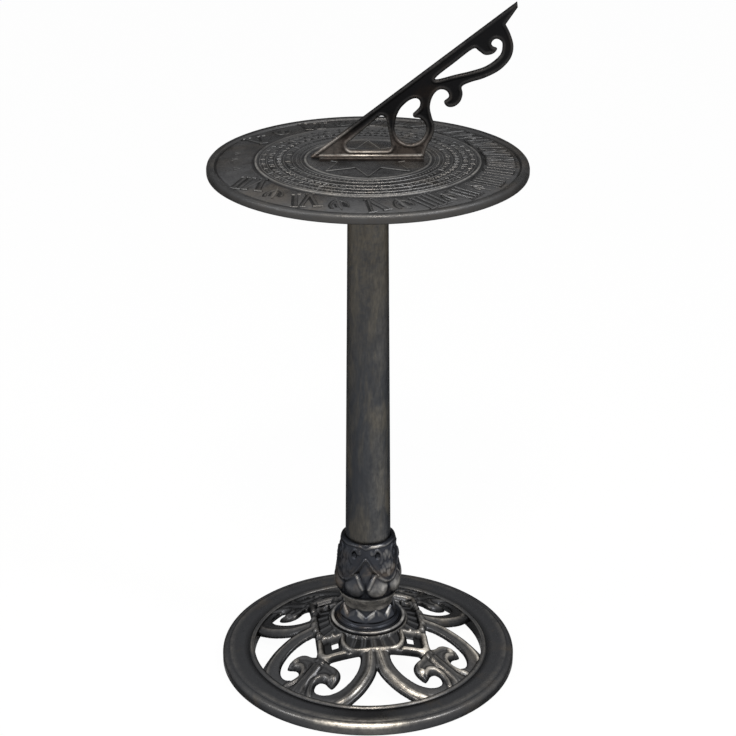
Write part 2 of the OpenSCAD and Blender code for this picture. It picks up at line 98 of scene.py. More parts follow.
# Openwork: lines are (across, outward) in the eighth of the circle that repeats
LATTICE_T = 6.0
PATTERN_TURN = 7.1
LATTICE_STEP = 0.91
V_EDGE = [
    (0, 77), (3.6, 85), (10.2, 94.5), (18.3, 103.3), (29.6, 112), (38, 117.5), (54, 128),
]
SCROLL_EDGE = [
    (15.6, 60.5), (16.6, 68), (20, 76), (25, 83.2), (32, 90), (40.5, 95.6), (50, 98),
    (58.5, 96.8), (64.6, 92.6), (66.4, 86.6), (63.6, 81.2), (58.8, 80), (54.4, 82.8),
    (51.6, 87.4), (48.4, 90.6), (43.4, 87.4), (39, 81.5), (38.2, 75), (41, 69),
    (46.2, 64.8), (47.6, 61.6), (45.5, 58.9), (36, 58.6), (26, 58.6), (18, 58.6),
]
CORNER_EDGE = [
    (34, 36), (34, 43.4), (35.6, 45.2), (43.4, 45.2), (45.2, 43.4), (45.2, 35.6),
    (43.4, 34), (36, 34),
]
RIB_LINE = [
    (4.4, 59), (6.2, 70), (8.9, 80.6), (15.8, 90.4), (23.2, 98.6), (33.5, 106.6),
    (45, 111.4), (57, 113.6),
]
# the casting's skin narrows the small corner openings by this much
CORNER_FILL = 2.3
LOBE_LINE = [
    (0, 55.9), (12, 55.7), (20, 54.6), (26.5, 51), (30.3, 45), (31.6, 39), (30.9, 33.5),
    (31.5, 31.5),
]
PANEL_ENDS = [(33.0, 30.0), (33.0, -6.0), (-6.0, -6.0)]
STEM_LINE = [(57, 57), (66, 66), (76, 76), (90, 90)]
ARM_LINE = [(54, 60), (47.4, 67.6), (43.4, 74), (43.2, 80), (45.8, 86)]
HOOK_LINE = [
    (75, 100), (73, 93), (71.2, 86), (67, 78.6), (60, 75.4), (53.6, 77), (50, 82.6),
]
PALM_LINE = [(60, 64), (68, 73), (76.5, 83), (82, 91)]
BALL_AT = (46.4, 81.4)
PALM_MIDDLE = 67.0
FRAME_HALF = 55.7
FRAME_ROUND = 8.0
# knots along the frame: across, outward and reach
KNOTS = ((0, 57.5, 5.2), (11.5, 57, 4.4), (21, 55.5, 5.0), (29.5, 50, 4.2), (30, 41, 3.6))
# heights of the sunken grounds, over the dome
FRAME_GROUND = -3.2
PANEL_GROUND = -2.6
# beyond the reach of every bar, as a distance and as a depth
FAR = 9.0

# Gnomon: heights are over the dial's face
STYLE_ANGLE = 37.7
STYLE_START = (-54.6, 3.0)
STYLE_END_X = 138.3
GNOMON_T = 6.0
GNOMON_STEP = 0.8
FOOT_X = (-46.6, 53.4)
FOOT_W = 17.0
FOOT_H = 4.0
BACK_EDGE = [
    (128, 130.9), (132.9, 121.5), (136, 110.3), (133.4, 98.4), (123.6, 87.4), (109.2, 79.8),
    (97, 76), (88.6, 71.6), (89.4, 64.5), (87.2, 57), (81.6, 52.2), (75.4, 52), (72, 56.4),
    (76.4, 60.6), (75.6, 65.6), (71.6, 68.6), (66, 68), (61, 62), (58.6, 52),
    (60.4, 42), (63.2, 33), (62, 24), (58, 16), (55, 8), (53.4, 2),
]
UPPER_OPENING = [
    (65, 77.8), (64.8, 81.4), (80.6, 94.2), (98, 107.8), (103.4, 106), (109.6, 102),
    (117, 103.2), (120.8, 107.8), (117, 109.6), (115.3, 113), (117.2, 116.3), (120.6, 117.3),
    (124.2, 115.4), (125.8, 111), (123.8, 101.2), (112, 91.2), (97.6, 86), (82, 82.2),
]
ROUND_OPENING = [
    (25.3, 30), (25.8, 37), (27.6, 44), (31.4, 51.2), (38.6, 58), (45.2, 60.2), (49, 57.6),
    (49, 51.6), (45.4, 47.2), (42.6, 44.2), (44, 41.4), (49, 40.6), (53.6, 36.6),
    (55.4, 30), (53.3, 22.4), (47.8, 17), (40.4, 15), (33, 17), (27.5, 22.4),
]
TRIANGLE_CORNERS = [(-16, 13.2), (17.8, 13.2), (12.8, 38.6)]
TRIANGLE_ROUND = 4.6

# Dial: the hour ring slopes down from its inner edge to the rim
RIM_TOP_Z = DIAL_Z + 9.0
HOUR_Z = RIM_TOP_Z - 1.5
HOUR_RISE = 3.1
RING_CREST_Z = HOUR_Z + HOUR_RISE + 1.1
RING_FOOT_Z = RING_CREST_Z - 0.8
RIM_W = 8.0
HOUR_OUT_R = 144.7
HOUR_RING_R = 109.0
MEDALLION_R = 61.0
FIGURE_R = 127.5
FIGURE_H = 28.0
# places of the hours from noon on, in degrees round the column
HOUR_PLACE = (0, 13.6, 28.2, 46, 63.5, 87.5, 116, 148)

# Radii of the ornament between the raised rings: the thin rings first, then row by row
RING_ROWS = (64.6, 72.6, 81.2, 89.6, 97.4, 104.0)
BEAD_ROW = 68.6
LONG_MARK, SHORT_MARK = (74.4, 76.9, 79.6), (75.2, 76.6, 78.2)
CHEVRON_ROW, CHEVRON_TIP, CHEVRON_BEAD = 83.4, 87.4, 85.4
LONG_TICK, SHORT_TICK = (91.2, 93.5, 95.8), (92.0, 93.4, 94.8)
OUTER_ROW, OUTER_TICK = 100.8, (98.8, 100.8, 102.8)
BEAD_SIDES = 6

# Roman figures
THICK = 4.4
THIN = 3.4
SERIF = 4.2
SERIF_W = 1.9
SIGN_WIDTH = {"I": 6.4, "V": 19.0, "X": 14.0}
# foot and top of each leg across a sign, as shares of its spread
SIGN_LEGS = {"I": ((0, 0),), "V": ((0, -1), (0, 1)), "X": ((1, -1), (-1, 1))}
SIGN_SPREAD = 0.4
AFTERNOON = ("XII", "I", "II", "III", "IIII", "V", "VI", "VII")
MORNING = ("XII", "XI", "X", "IX", "VIII", "VII", "VI", "V")

# Compass star
STAR_TIP = 56.0
STAR_WAIST = 31.0
STAR_RISE = 0.7
FOOT_CLEAR = 9.0

# Collar outline: radius and height over the hub
FLANGE_R = 39.2
FLANGE_BEAD = 1.9
COLLAR_LINE = [
    (35.4, 3.2), (34.0, 2.6), (32.8, 5.2), (31.4, 5.0), (29.2, 9.0), (26.6, 15.0),
    (25.6, 21.0), (26.4, 26.0), (28.6, 31.0), (30.6, 36.0), (32.8, 41.0), (33.4, 47.5),
    (33.0, 56.0), (32.0, 66.0), (30.2, 77.0), (28.8, 86.0), (28.4, 94.0), (28.0, 98.4),
    (27.0, 100.6), (24.9, 101.4),
]

# Column
COLUMN_FOOT_R = 24.24
COLUMN_HEAD_R = 19.9
COLUMN_WALL = 3.0
COLUMN_ROWS = 60


def link(obj):
    bpy.context.scene.collection.objects.link(obj)
    return obj


# Curves and distances in the plane


def unit(value):
    """Clips to the range 0 to 1."""
    return np.clip(value, 0, 1)


def bell(gap, spread):
    """Soft peak: 1 where gap is 0, fading over the spread."""
    return np.exp(-(gap / spread) ** 2)


def polar(radius, a):
    return radius * math.cos(a), radius * math.sin(a)


def smooth_line(points, steps, closed=False):
    """Smooth curve through the points."""
    p = np.asarray(points, float)
    n = len(p)
    rows = []
    for i in range(n if closed else n - 1):
        near = [i - 1, i, i + 1, i + 2]
        near = [k % n for k in near] if closed else [min(max(k, 0), n - 1) for k in near]
        a, b, c, d = p[near]
        for s in range(steps):
            t = s / steps
            rows.append(
                0.5 * (2 * b + (c - a) * t + (2 * a - 5 * b + 4 * c - d) * t * t
                       + (3 * b - a - 3 * c + d) * t ** 3)
            )
    if not closed:
        rows.append(p[-1])
    return np.array(rows)


def line_distance(x, y, line, closed=False):
    """Distance to a line of points."""
    line = np.asarray(line, float)
    starts = line if closed else line[:-1]
    ends = np.roll(line, -1, axis=0) if closed else line[1:]
    best = np.full(np.shape(x), np.inf)
    for (ax, ay), (bx, by) in zip(starts, ends):
        length = math.hypot(bx - ax, by - ay)
        if length < 1e-9:
            continue
        ux, uy = (bx - ax) / length, (by - ay) / length
        t = np.clip((x - ax) * ux + (y - ay) * uy, 0, length)
        best = np.minimum(best, np.hypot(x - ax - t * ux, y - ay - t * uy))
    return best


def inside(x, y, outline):
    """Which points lie inside a closed outline."""
    odd = np.zeros(np.shape(x), bool)
    outline = np.asarray(outline, float)
    for (ax, ay), (bx, by) in zip(outline, np.roll(outline, -1, axis=0)):
        if ay != by:
            odd ^= ((ay > y) != (by > y)) & (x < ax + (y - ay) * (bx - ax) / (by - ay))
    return odd


def outline_distance(x, y, outline):
    """Distance to a closed outline, positive outside it."""
    distance = line_distance(x, y, outline, closed=True)
    return np.where(inside(x, y, outline), -distance, distance)


def edge_drop(depth, radius):
    """How far a rounded edge lies under the flat, at a depth in from the outline."""
    t = unit(1 - depth / radius)
    return radius * (1 - np.sqrt(1 - t * t))


def crest(distance, half_width):
    """Section of a raised bar: 1 on its middle line, 0 at its foot."""
    return unit(1 - (distance / half_width) ** 2) ** 0.6


class Relief:
    """Height map of a surface with its values of wear and painted highlight, and of painted
    shade.
    """

    def __init__(self, level, wear_and_sheen, painted_shade):
        self.level, self.wear_and_sheen, self.painted_shade = level, wear_and_sheen, painted_shade

    # raises the bright value: wear and painted highlight
    def shine(self, value):
        self.wear_and_sheen = np.maximum(self.wear_and_sheen, value)

    # adds painted shade
    def darken(self, value):
        self.painted_shade = np.maximum(self.painted_shade, value)

    def sink(self, where, level, painted_shade):
        """Flat ground inside a region, with painted shade over it."""
        self.level = np.where(where, level, self.level)
        self.wear_and_sheen = np.where(where, 0.0, self.wear_and_sheen)
        self.painted_shade = np.where(where, painted_shade, self.painted_shade)

    def bar(self, distance, half_width, low, high, shine):
        """Bar that stands out of the ground around it, with a painted highlight along its crest
        and no painted shade.
        """
        shape = crest(distance, half_width)
        bar = np.where(distance < half_width, low + (high - low) * shape, -FAR)
        taller = bar > self.level
        self.wear_and_sheen = np.where(taller, shine * unit(shape * 1.8 - 0.8), self.wear_and_sheen)
        self.painted_shade = np.where(taller, 0.0, self.painted_shade)
        self.level = np.maximum(self.level, bar)

    def ridge(self, distance, half_width, high, shine, crease, spread, cut=0.0, clears_shade=False):
        """Round ridge on top of the ground, a painted highlight on its crest and painted shade
        in a crease along both its sides.

        cut is how far the crease is sunk. The last flag takes the painted shade off the ground
        under the ridge.
        """
        shape = crest(distance, half_width)
        side = crease * unit(1 - np.abs(distance - 1.5 * half_width) / (spread * half_width))
        if clears_shade:
            self.painted_shade *= shape <= 0
        self.level += high * shape - cut * side
        self.shine(shine * unit(shape * 1.8 - 0.8))
        self.darken(side)


# Mesh parts: each is (points, faces, wear and painted highlight, painted shade), joined by
# join_parts


def as_part(points, faces, wear_and_sheen=0.0, painted_shade=0.0):
    points = np.asarray(points, float)
    return points, list(faces), *(np.zeros(len(points)) + value for value in (wear_and_sheen, painted_shade))


def join_parts(parts):
    faces, shift = [], 0
    for part in parts:
        faces += [tuple(v + shift for v in face) for face in part[1]]
        shift += len(part[0])
    points, wear_and_sheen, painted_shade = (np.concatenate([part[k] for part in parts]) for k in (0, 2, 3))
    return points, faces, wear_and_sheen, painted_shade


def loft(rows, around, closed=False, capped=False):
    """Faces between rows of points that each go once round."""
    faces = []
    for i in range(rows if closed else rows - 1):
        a, b = i * around, (i + 1) % rows * around
        for j in range(around):
            k = (j + 1) % around
            faces.append((a + j, a + k, b + k, b + j))
    if capped:
        faces.append(tuple(reversed(range(around))))
        faces.append(tuple((rows - 1) * around + k for k in range(around)))
    return faces


def rows_from(radius, height, rows):
    """Rows of (radius, height, wear and painted highlight, painted shade) whose first two values
    start from a corner.
    """
    return [(radius + row[0], height + row[1], *row[2:]) for row in rows]


def polar_of(points):
    """Radius and angle in degrees of each point about the column's axis."""
    x, y = points[:, 0], points[:, 1]
    return np.hypot(x, y), np.degrees(np.arctan2(y, x))


def lathe(rows, segments, closed=False):
    """Turns rows of (radius, height), or (radius, height, wear and painted highlight, painted
    shade), about the axis.

    A line that starts on the axis ends on it too, and is capped at both ends.
    """
    rows = np.asarray(rows, float)
    turn = np.arange(segments) * 2 * np.pi / segments
    radius = np.maximum(rows[:, 0], 0.02)
    points = np.stack([
        np.outer(radius, np.cos(turn)), np.outer(radius, np.sin(turn)),
        np.repeat(rows[:, 1:2], segments, axis=1),
    ], axis=2).reshape(-1, 3)
    faces = loft(len(rows), segments, closed, capped=rows[0, 0] == 0)
    return as_part(points, faces, *(np.repeat(values, segments) for values in rows.T[2:]))


def plate_grid(solid, low, high, step):
    """Grid over a flat shape, with the points near its outline moved onto it."""
    counts = [int(round((high[k] - low[k]) / step)) + 1 for k in (0, 1)]
    lines = [np.linspace(low[k], high[k], counts[k]) for k in (0, 1)]
    x, y = (grid.ravel() for grid in np.meshgrid(*lines, indexing="ij"))
    depth = solid(x, y)
    near = np.abs(depth) < 0.72 * step
    small = 0.05 * step
    for _ in range(2):
        px, py = x[near], y[near]
        here = solid(px, py)
        dx = (solid(px + small, py) - solid(px - small, py)) / (2 * small)
        dy = (solid(px, py + small) - solid(px, py - small)) / (2 * small)
        size = np.maximum(dx * dx + dy * dy, 0.3)
        x[near], y[near] = px - here * dx / size, py - here * dy / size
    keep = near | (depth > 0)
    index = np.arange(x.size).reshape(counts)
    cells = np.stack([
        index[:-1, :-1].ravel(), index[1:, :-1].ravel(),
        index[1:, 1:].ravel(), index[:-1, 1:].ravel(),
    ], axis=1)
    kept = keep[cells]
    weight = kept / np.maximum(kept.sum(axis=1, keepdims=True), 1)
    middle = solid((x[cells] * weight).sum(axis=1), (y[cells] * weight).sum(axis=1))
    full = kept.all(axis=1) & (middle > -0.1 * step)
    part = (kept.sum(axis=1) == 3) & (middle > 0)
    faces = [tuple(row) for row in cells[full]]
    faces += [tuple(v for v in row if keep[v]) for row in cells[part]]
    used = np.unique(np.concatenate([np.array(f) for f in faces]))
    renumber = np.full(x.size, -1)
    renumber[used] = np.arange(len(used))
    faces = [tuple(renumber[v] for v in f) for f in faces]
    x, y = x[used], y[used]
    return x, y, np.where(near[used], 0.0, solid(x, y)), faces


def plate(x, y, faces, top, bottom, wear_and_sheen, painted_shade, wear_and_sheen_below=0.0, painted_shade_below=1.0):
    """Solid between two height maps over the same grid."""
    count = len(x)
    pairs = [(f[i], f[(i + 1) % len(f)]) for f in faces for i in range(len(f))]
    have = set(pairs)
    walls = [(b, a, a + count, b + count) for a, b in pairs if (b, a) not in have]
    under = [tuple(v + count for v in reversed(f)) for f in faces]
    points = np.vstack([np.stack([x, y, top], 1), np.stack([x, y, bottom], 1)])
    below = np.zeros(count)
    # the underside gets its own bright value and painted shade, full painted shade unless told
    # otherwise
    return as_part(
        points, faces + under + walls, np.hstack([wear_and_sheen, below + wear_and_sheen_below]),
        np.hstack([painted_shade, below + painted_shade_below]),
    )


RIBBON_SECTION = (
    (-1.0, -0.5), (-0.72, 0.72), (-0.4, 1.0), (0.4, 1.0), (0.72, 0.72), (1.0, -0.5),
)


def ribbon(line, width, height, floor, wear_and_sheen=0.0, painted_shade=0.0):
    """Raised stroke along a flat line of points. The width may change along it."""
    line = np.asarray(line, float)
    width = np.broadcast_to(width, len(line))
    ahead = np.gradient(line, axis=0)
    ahead /= np.maximum(np.hypot(ahead[:, 0], ahead[:, 1]), 1e-9)[:, None]
    side = np.stack([-ahead[:, 1], ahead[:, 0]], 1)
    points, shine = [], []
    for i in range(len(line)):
        for across, up in RIBBON_SECTION:
            px, py = line[i] + side[i] * across * width[i] / 2
            points.append((px, py, floor(px, py) + up * height))
            # the top of the stroke takes the bright value in full and its upper sides about a
            # third of it: wear and painted highlight
            shine.append(wear_and_sheen if up > 0.9 else 0.35 * wear_and_sheen if up > 0 else 0.0)
    return as_part(points, loft(len(line), len(RIBBON_SECTION), capped=True), shine, painted_shade)


def make_piece(name, part, body, replaced, material, sharp=40.0):
    """Mesh object from a part in millimetres, riding on a body."""
    points, faces, wear_and_sheen, painted_shade = part
    mesh = bpy.data.meshes.new(name)
    mesh.from_pydata((points * MM).tolist(), [], [list(map(int, f)) for f in faces])
    for key, values in (("wear_and_sheen", wear_and_sheen), ("painted_shade", painted_shade)):
        layer = mesh.attributes.new(key, "FLOAT", "POINT")
        layer.data.foreach_set("value", values.astype(np.float32))
    work = bmesh.new()
    work.from_mesh(mesh)
    bmesh.ops.recalc_face_normals(work, faces=work.faces)
    work.to_mesh(mesh)
    work.free()
    mesh.shade_smooth()
    mesh.set_sharp_from_angle(angle=math.radians(sharp))
    mesh.materials.append(material)
    obj = link(bpy.data.objects.new(name, mesh))
    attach(obj, body)
    if replaced:
        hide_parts(replaced)
    return obj


# Materials

# share of white that a painted casting mirrors at a glancing angle, and its metal
EDGE_TINT = (0.16, 0.16, 0.16)
PAINT_METAL = 0.9
# painted shade and dark dots, as shares of the paint's dark colour, and how far the painted
# shade covers
SHADE_SHARE, DOTS = 0.3, 0.55
SHADE_COVER = 0.85


def new_material(name):
    material = bpy.data.materials.new(name)
    material.use_nodes = True
    tree = material.node_tree
    return material, tree, tree.nodes["Principled BSDF"]


def feed(tree, socket, value):
    """Sets an input to a plain value, or links it to another node's output."""
    if isinstance(value, bpy.types.NodeSocket):
        tree.links.new(value, socket)
    else:
        socket.default_value = value


def add_node(tree, kind, **inputs):
    node = tree.nodes.new(kind)
    for key, value in inputs.items():
        feed(tree, node.inputs[key.replace("_", " ")], value)
    return node


def noise(tree, scale, detail=4.0, roughness=0.55, stretch=(1, 1, 1), distortion=0.0):
    """Noise in object space; scale is in cycles per metre."""
    place = tree.nodes.new("ShaderNodeTexCoord").outputs["Object"]
    mapping = add_node(tree, "ShaderNodeMapping", Vector=place, Scale=stretch)
    return add_node(
        tree, "ShaderNodeTexNoise", Vector=mapping.outputs["Vector"], Scale=scale,
        Detail=detail, Roughness=roughness, Distortion=distortion,
    ).outputs["Fac"]


def spread_range(tree, value, low, high, out_low=0.0, out_high=1.0):
    node = add_node(
        tree, "ShaderNodeMapRange", Value=value, From_Min=low, From_Max=high,
        To_Min=out_low, To_Max=out_high,
    )
    node.interpolation_type = "SMOOTHSTEP"
    return node.outputs["Result"]


def work_out(tree, a, b, operation="MULTIPLY"):
    """Two values multiplied, or another operation on them."""
    node = tree.nodes.new("ShaderNodeMath")
    node.operation = operation
    feed(tree, node.inputs[0], a)
    feed(tree, node.inputs[1], b)
    return node.outputs["Value"]


def mix_colour(tree, share, a, b):
    node = tree.nodes.new("ShaderNodeMix")
    node.data_type = "RGBA"
    tree.links.new(share, node.inputs["Factor"])
    ends = [s for s in node.inputs if s.type == "RGBA"]
    for socket, value in zip(ends, (a, b)):
        feed(tree, socket, (*value, 1.0) if isinstance(value, tuple) else value)
    return [s for s in node.outputs if s.type == "RGBA"][0]


def attribute(tree, name):
    node = tree.nodes.new("ShaderNodeAttribute")
    node.attribute_name = name
    return node.outputs["Fac"]


def object_height(tree):
    place = tree.nodes.new("ShaderNodeTexCoord").outputs["Object"]
    return add_node(tree, "ShaderNodeSeparateXYZ", Vector=place).outputs["Z"]


def finish_surface(tree, shader, colour, metal, rough, blotch, bump=None):
    """Colour, metal, roughness between two values that follow the blotch noise, and bump.

    bump is (strength, distance in metres, noise).
    """
    feed(tree, shader.inputs["Base Color"], colour)
    feed(tree, shader.inputs["Metallic"], metal)
    feed(tree, shader.inputs["Roughness"], spread_range(tree, blotch, 0.3, 0.7, *rough))
    if bump:
        strength, distance, height = bump
        node = add_node(
            tree, "ShaderNodeBump", Strength=strength, Distance=distance, Height=height
        )
        tree.links.new(node.outputs["Normal"], shader.inputs["Normal"])


def bronze(name, dark, warm, wear_and_sheen_colour, warm_range=(0.5, 0.7), streaks=(1, 1, 1), patch=22.0,
           rough=(0.34, 0.52), grain=0.25, tint=None, speckle=(900.0, 0.25)):
    """Dark painted casting, browner in patches, worn bright and painted with highlights on its
    raised edges.

    warm_range is where in the noise the brown patches start and are full, and patch their
    scale. tint is (colour, height where it is full, height where it ends), in metres: rust
    low on the gnomon, brown high on the column and on the dial's side. speckle is (noise
    scale, share) of the dark dots.
    """
    material, tree, shader = new_material(name)
    shader.inputs["Specular Tint"].default_value = (*EDGE_TINT, 1.0)
    shader.inputs["Specular IOR Level"].default_value = 0.2
    patches = spread_range(tree, noise(tree, patch, 5.0, 0.6, streaks, 0.4), *warm_range)
    colour = mix_colour(tree, patches, dark, warm)
    if tint:
        share = spread_range(tree, object_height(tree), tint[1], tint[2], 1.0, 0.0)
        ragged = spread_range(tree, noise(tree, 170.0, 4.0, 0.65), 0.36, 0.6, 0.4, 1.0)
        colour = mix_colour(tree, work_out(tree, share, ragged), colour, tint[0])
    # the bright colour stands for wear and for painted highlights, broken up by two noises
    fine_breakup = spread_range(tree, noise(tree, 140.0, 3.0, 0.6), 0.3, 0.62, 0.4, 1.0)
    broad_breakup = spread_range(tree, noise(tree, 24.0, 2.0, 0.5), 0.36, 0.6, 0.35, 1.0)
    bright_share = work_out(tree, work_out(tree, fine_breakup, broad_breakup), attribute(tree, "wear_and_sheen"))
    colour = mix_colour(tree, bright_share, colour, wear_and_sheen_colour)
    # painted shade where the mesh asks for it, then the casting's own dark dots
    shade_colour, dots = (tuple(share * c for c in dark) for share in (SHADE_SHARE, DOTS))
    shade_mix = work_out(tree, attribute(tree, "painted_shade"), SHADE_COVER)
    colour = mix_colour(tree, shade_mix, colour, shade_colour)
    speck = spread_range(tree, noise(tree, speckle[0], 3.0, 0.6, streaks), 0.3, 0.7)
    colour = mix_colour(tree, work_out(tree, speck, speckle[1]), colour, dots)
    finish_surface(
        tree, shader, colour, PAINT_METAL, rough, noise(tree, 60.0, 4.0),
        (grain, 0.0006, noise(tree, 700.0, 5.0, 0.6)),
    )
    return material


def plain_metal(name, colour, worn, rough, brush=(1, 1, 1)):
    """Turned or plated metal with fine brushing."""
    material, tree, shader = new_material(name)
    share = spread_range(tree, noise(tree, 160.0, 4.0, 0.6, brush), 0.35, 0.7)
    finish_surface(
        tree, shader, mix_colour(tree, share, colour, worn), 1.0, (rough, rough + 0.16),
        noise(tree, 420.0, 3.0, 0.5, brush),
        (0.12, 0.0003, noise(tree, 1200.0, 3.0, 0.5, brush)),
    )
    return material


def nylon(name, colour, worn):
    material, tree, shader = new_material(name)
    share = spread_range(tree, noise(tree, 90.0, 3.0), 0.35, 0.7)
    colour = mix_colour(tree, share, colour, worn)
    finish_surface(tree, shader, colour, 0.0, (0.4, 0.55), noise(tree, 300.0))
    return material


# Base


def dome_z(radius):
    slope = (HUB_Z - RIM_Z) / (RIM_IN_R - HUB_R)
    return HUB_Z - np.maximum(radius - HUB_R, 0) * slope


def folded(x, y):
    """The fourfold, mirrored pattern repeats this eighth of the circle."""
    u, v = np.abs(x), np.abs(y)
    return np.minimum(u, v), np.maximum(u, v)


def lattice_depth(x, y):
    """Distance into the openwork's metal from its nearest edge."""
    u, v = folded(x, y)
    radius = np.hypot(u, v)
    side = smooth_line(V_EDGE, 6)
    wedge = np.vstack([side[::-1] * (-1, 1), side[1:]])
    v_gap = np.maximum(outline_distance(u, v, wedge), radius - RIM_IN_R)
    scroll = outline_distance(u, v, smooth_line(SCROLL_EDGE, 4, True))
    corner = outline_distance(u, v, smooth_line(CORNER_EDGE, 4, True)) + CORNER_FILL
    ends = np.minimum(RIM_IN_R + 2.5 - radius, radius - BORE_R)
    return np.minimum.reduce([v_gap, scroll, corner, ends])


def frame_distance(u, v):
    """Distance to the rounded square bar round the hub, less than zero inside it."""
    box_x, box_y = u - FRAME_HALF + FRAME_ROUND, v - FRAME_HALF + FRAME_ROUND
    outer = np.hypot(np.maximum(box_x, 0), np.maximum(box_y, 0)) - FRAME_ROUND
    return np.where((box_x < 0) & (box_y < 0), np.maximum(box_x, box_y) - FRAME_ROUND, outer)


def lattice_relief(x, y, depth):
    """Relief of the openwork's top, its level over the dome."""
    u, v = folded(x, y)
    radius = np.hypot(u, v)
    swell = np.sqrt(1 - unit(1 - depth / 8.5) ** 2)
    # faint painted highlight over the top of every swell
    skin = Relief(3.4 * swell - 3.0, 0.05 * unit(2.2 * swell - 1.2), np.zeros(u.shape))
    frame_gap = frame_distance(u, v)
    lobe = smooth_line(LOBE_LINE, 4)
    in_panel = inside(u, v, np.vstack([(-6.0, 55.9), lobe, PANEL_ENDS]))
    # painted shade on the sunken grounds and round the small corner openings
    skin.sink(frame_gap < 0, FRAME_GROUND, 0.95)
    skin.sink(in_panel, PANEL_GROUND, 0.6)
    corner = outline_distance(u, v, smooth_line(CORNER_EDGE, 4, True))
    skin.darken(1.0 * (corner < 4.0))

    # radial bar and faint grooves on each panel
    skin.bar(np.where(in_panel, u, FAR), 2.6, PANEL_GROUND, -1.4, 0.08)
    turn = np.arctan2(u, v)
    for angle in (0.22, 0.44):
        gap = np.where(in_panel, np.abs(turn - angle) * radius, FAR)
        skin.bar(gap, 2.2, PANEL_GROUND, -1.6, 0.05)

    # claws between the scrolls: folds of the palm, hooks and their balls; then the ribs, each
    # with a painted highlight on its crest and painted shade in its creases
    rib = smooth_line(RIB_LINE, 5)
    palm, hook, arm = (smooth_line(line, 4) for line in (PALM_LINE, HOOK_LINE, ARM_LINE))
    for line, half_width, high, shine, crease in (
        (STEM_LINE, 4.2, 1.2, 0.05, 0.8), (palm, 2.6, 0.9, 0.2, 0.5),
        (hook, 2.4, 1.2, 0.45, 0.9), (arm, 2.6, 0.9, 0.2, 0.6), (rib, 2.2, 0.9, 0.85, 0.3),
    ):
        skin.ridge(line_distance(u, v, line), half_width, high, shine, crease, 0.6, 0.8)
    # painted shade in the middle of each palm; the ball has a painted highlight on its crest
    skin.darken(0.6 * bell(np.hypot(u - PALM_MIDDLE, v - PALM_MIDDLE), 9.0))
    skin.bar(np.hypot(u - BALL_AT[0], v - BALL_AT[1]), 4.4, -1.0, 2.4, 0.9)
    # broad painted highlight along each rib, and a valley between the two, sunk and filled with
    # painted shade
    skin.shine(0.32 * bell(line_distance(u, v, rib), 3.6))
    valley = unit(1 - u / 2.4) * (v > 58) * (v < 80)
    skin.level -= 1.6 * valley
    skin.darken(0.9 * valley)

    # corners of the frame, and knots along it on every side but the front, with painted
    # highlights on their crests
    skin.bar(np.hypot(frame_gap, np.maximum(32.0 - u, 0)), 4.4, -3.0, 2.6, 0.9)
    front_side = -y > np.abs(x)
    for knot_u, knot_v, reach in KNOTS:
        gap = np.hypot(u - knot_u, v - knot_v)
        skin.bar(np.where(front_side, FAR + gap, gap), reach, -2.4, 3.5, 0.65)
    skin.bar(line_distance(u, v, lobe), 3.0, PANEL_GROUND, 2.0, 0.5)
    skin.bar(np.abs(radius - HUB_BEAD_R), 1.3, -1.5, 0.5, 0.2)
    skin.level = np.where(radius < HUB_BEAD_R - 0.7, 0.0, skin.level)
    return skin


def rim_part():
    """Flat rim with its inner lip, its softened outer edge and the channel under it."""
    lip_r, wall_r = RIM_IN_R + LIP_W, BASE_R - RIM_WALL
    round_z = RIM_Z - RIM_ROUND - 0.6
    # the last two values of each row: painted shade in the channel and on the walls, painted
    # highlights on the outer rounding, the step and the lip
    rows = rows_from(RIM_IN_R, 0, [(0, 0.4, 0, 1), (0.4, 0, 0, 1)])
    rows += rows_from(lip_r, 0, [(-0.4, 0, 0, 1), (0, 0.4, 0, 1), (0, RIM_Z - RIM_WALL, 0, 1)])
    rows += rows_from(wall_r, 0, [(0, RIM_Z - RIM_WALL, 0, 1), (0, 0.4, 0, 1), (0.4, 0, 0, 1)])
    rows += rows_from(BASE_R, 0, [(-0.5, 0, 0, 0.3), (0, 0.6, 0.03, 0), (0, round_z, 0.06, 0)])
    for turn in np.radians(90 * np.arange(9) / 8):
        across, up = polar(RIM_ROUND, turn)
        shine = 0.08 + 0.92 * math.sin(2 * turn) ** 2
        rows.append((BASE_R - RIM_ROUND + across, round_z + up, shine, 0))
    rows += rows_from(BASE_R, RIM_Z, [
        (-6.4, -0.75, 0, 0), (-7.2, -0.2, 0.25, 0), (-8.6, -0.05, 0.1, 0), (-14, 0, 0, 0),
        (-22, 0, 0, 0),
    ])
    rows += rows_from(lip_r, RIM_Z, [
        (1.8, -0.25, 0, 0.8), (0.9, -0.6, 0, 0.8), (0.1, -0.3, 0, 0),
    ])
    rows += rows_from(lip_r, LIP_Z, [(-0.5, -0.3, 0.1, 0), (-1.3, 0, 0.16, 0)])
    rows += rows_from(RIM_IN_R, LIP_Z, [
        (1.9, 0, 0.03, 0), (0.7, -0.4, 0.16, 0), (0.1, -1.2, 0.05, 0), (0, -2.2, 0, 0),
    ])
    points, faces, wear_and_sheen, painted_shade = lathe(rows, 256, True)
    # its outer edge and its lip take painted highlights, most of all at the front below the
    # front lamp
    radius, turn = polar_of(points)
    front = bell(turn + 91.0, 15.0)
    worn = np.where(radius > BASE_R - 8, 0.05 + 2.6 * front, 0.7 + 1.6 * front ** 0.2)
    return points, faces, wear_and_sheen * worn, painted_shade


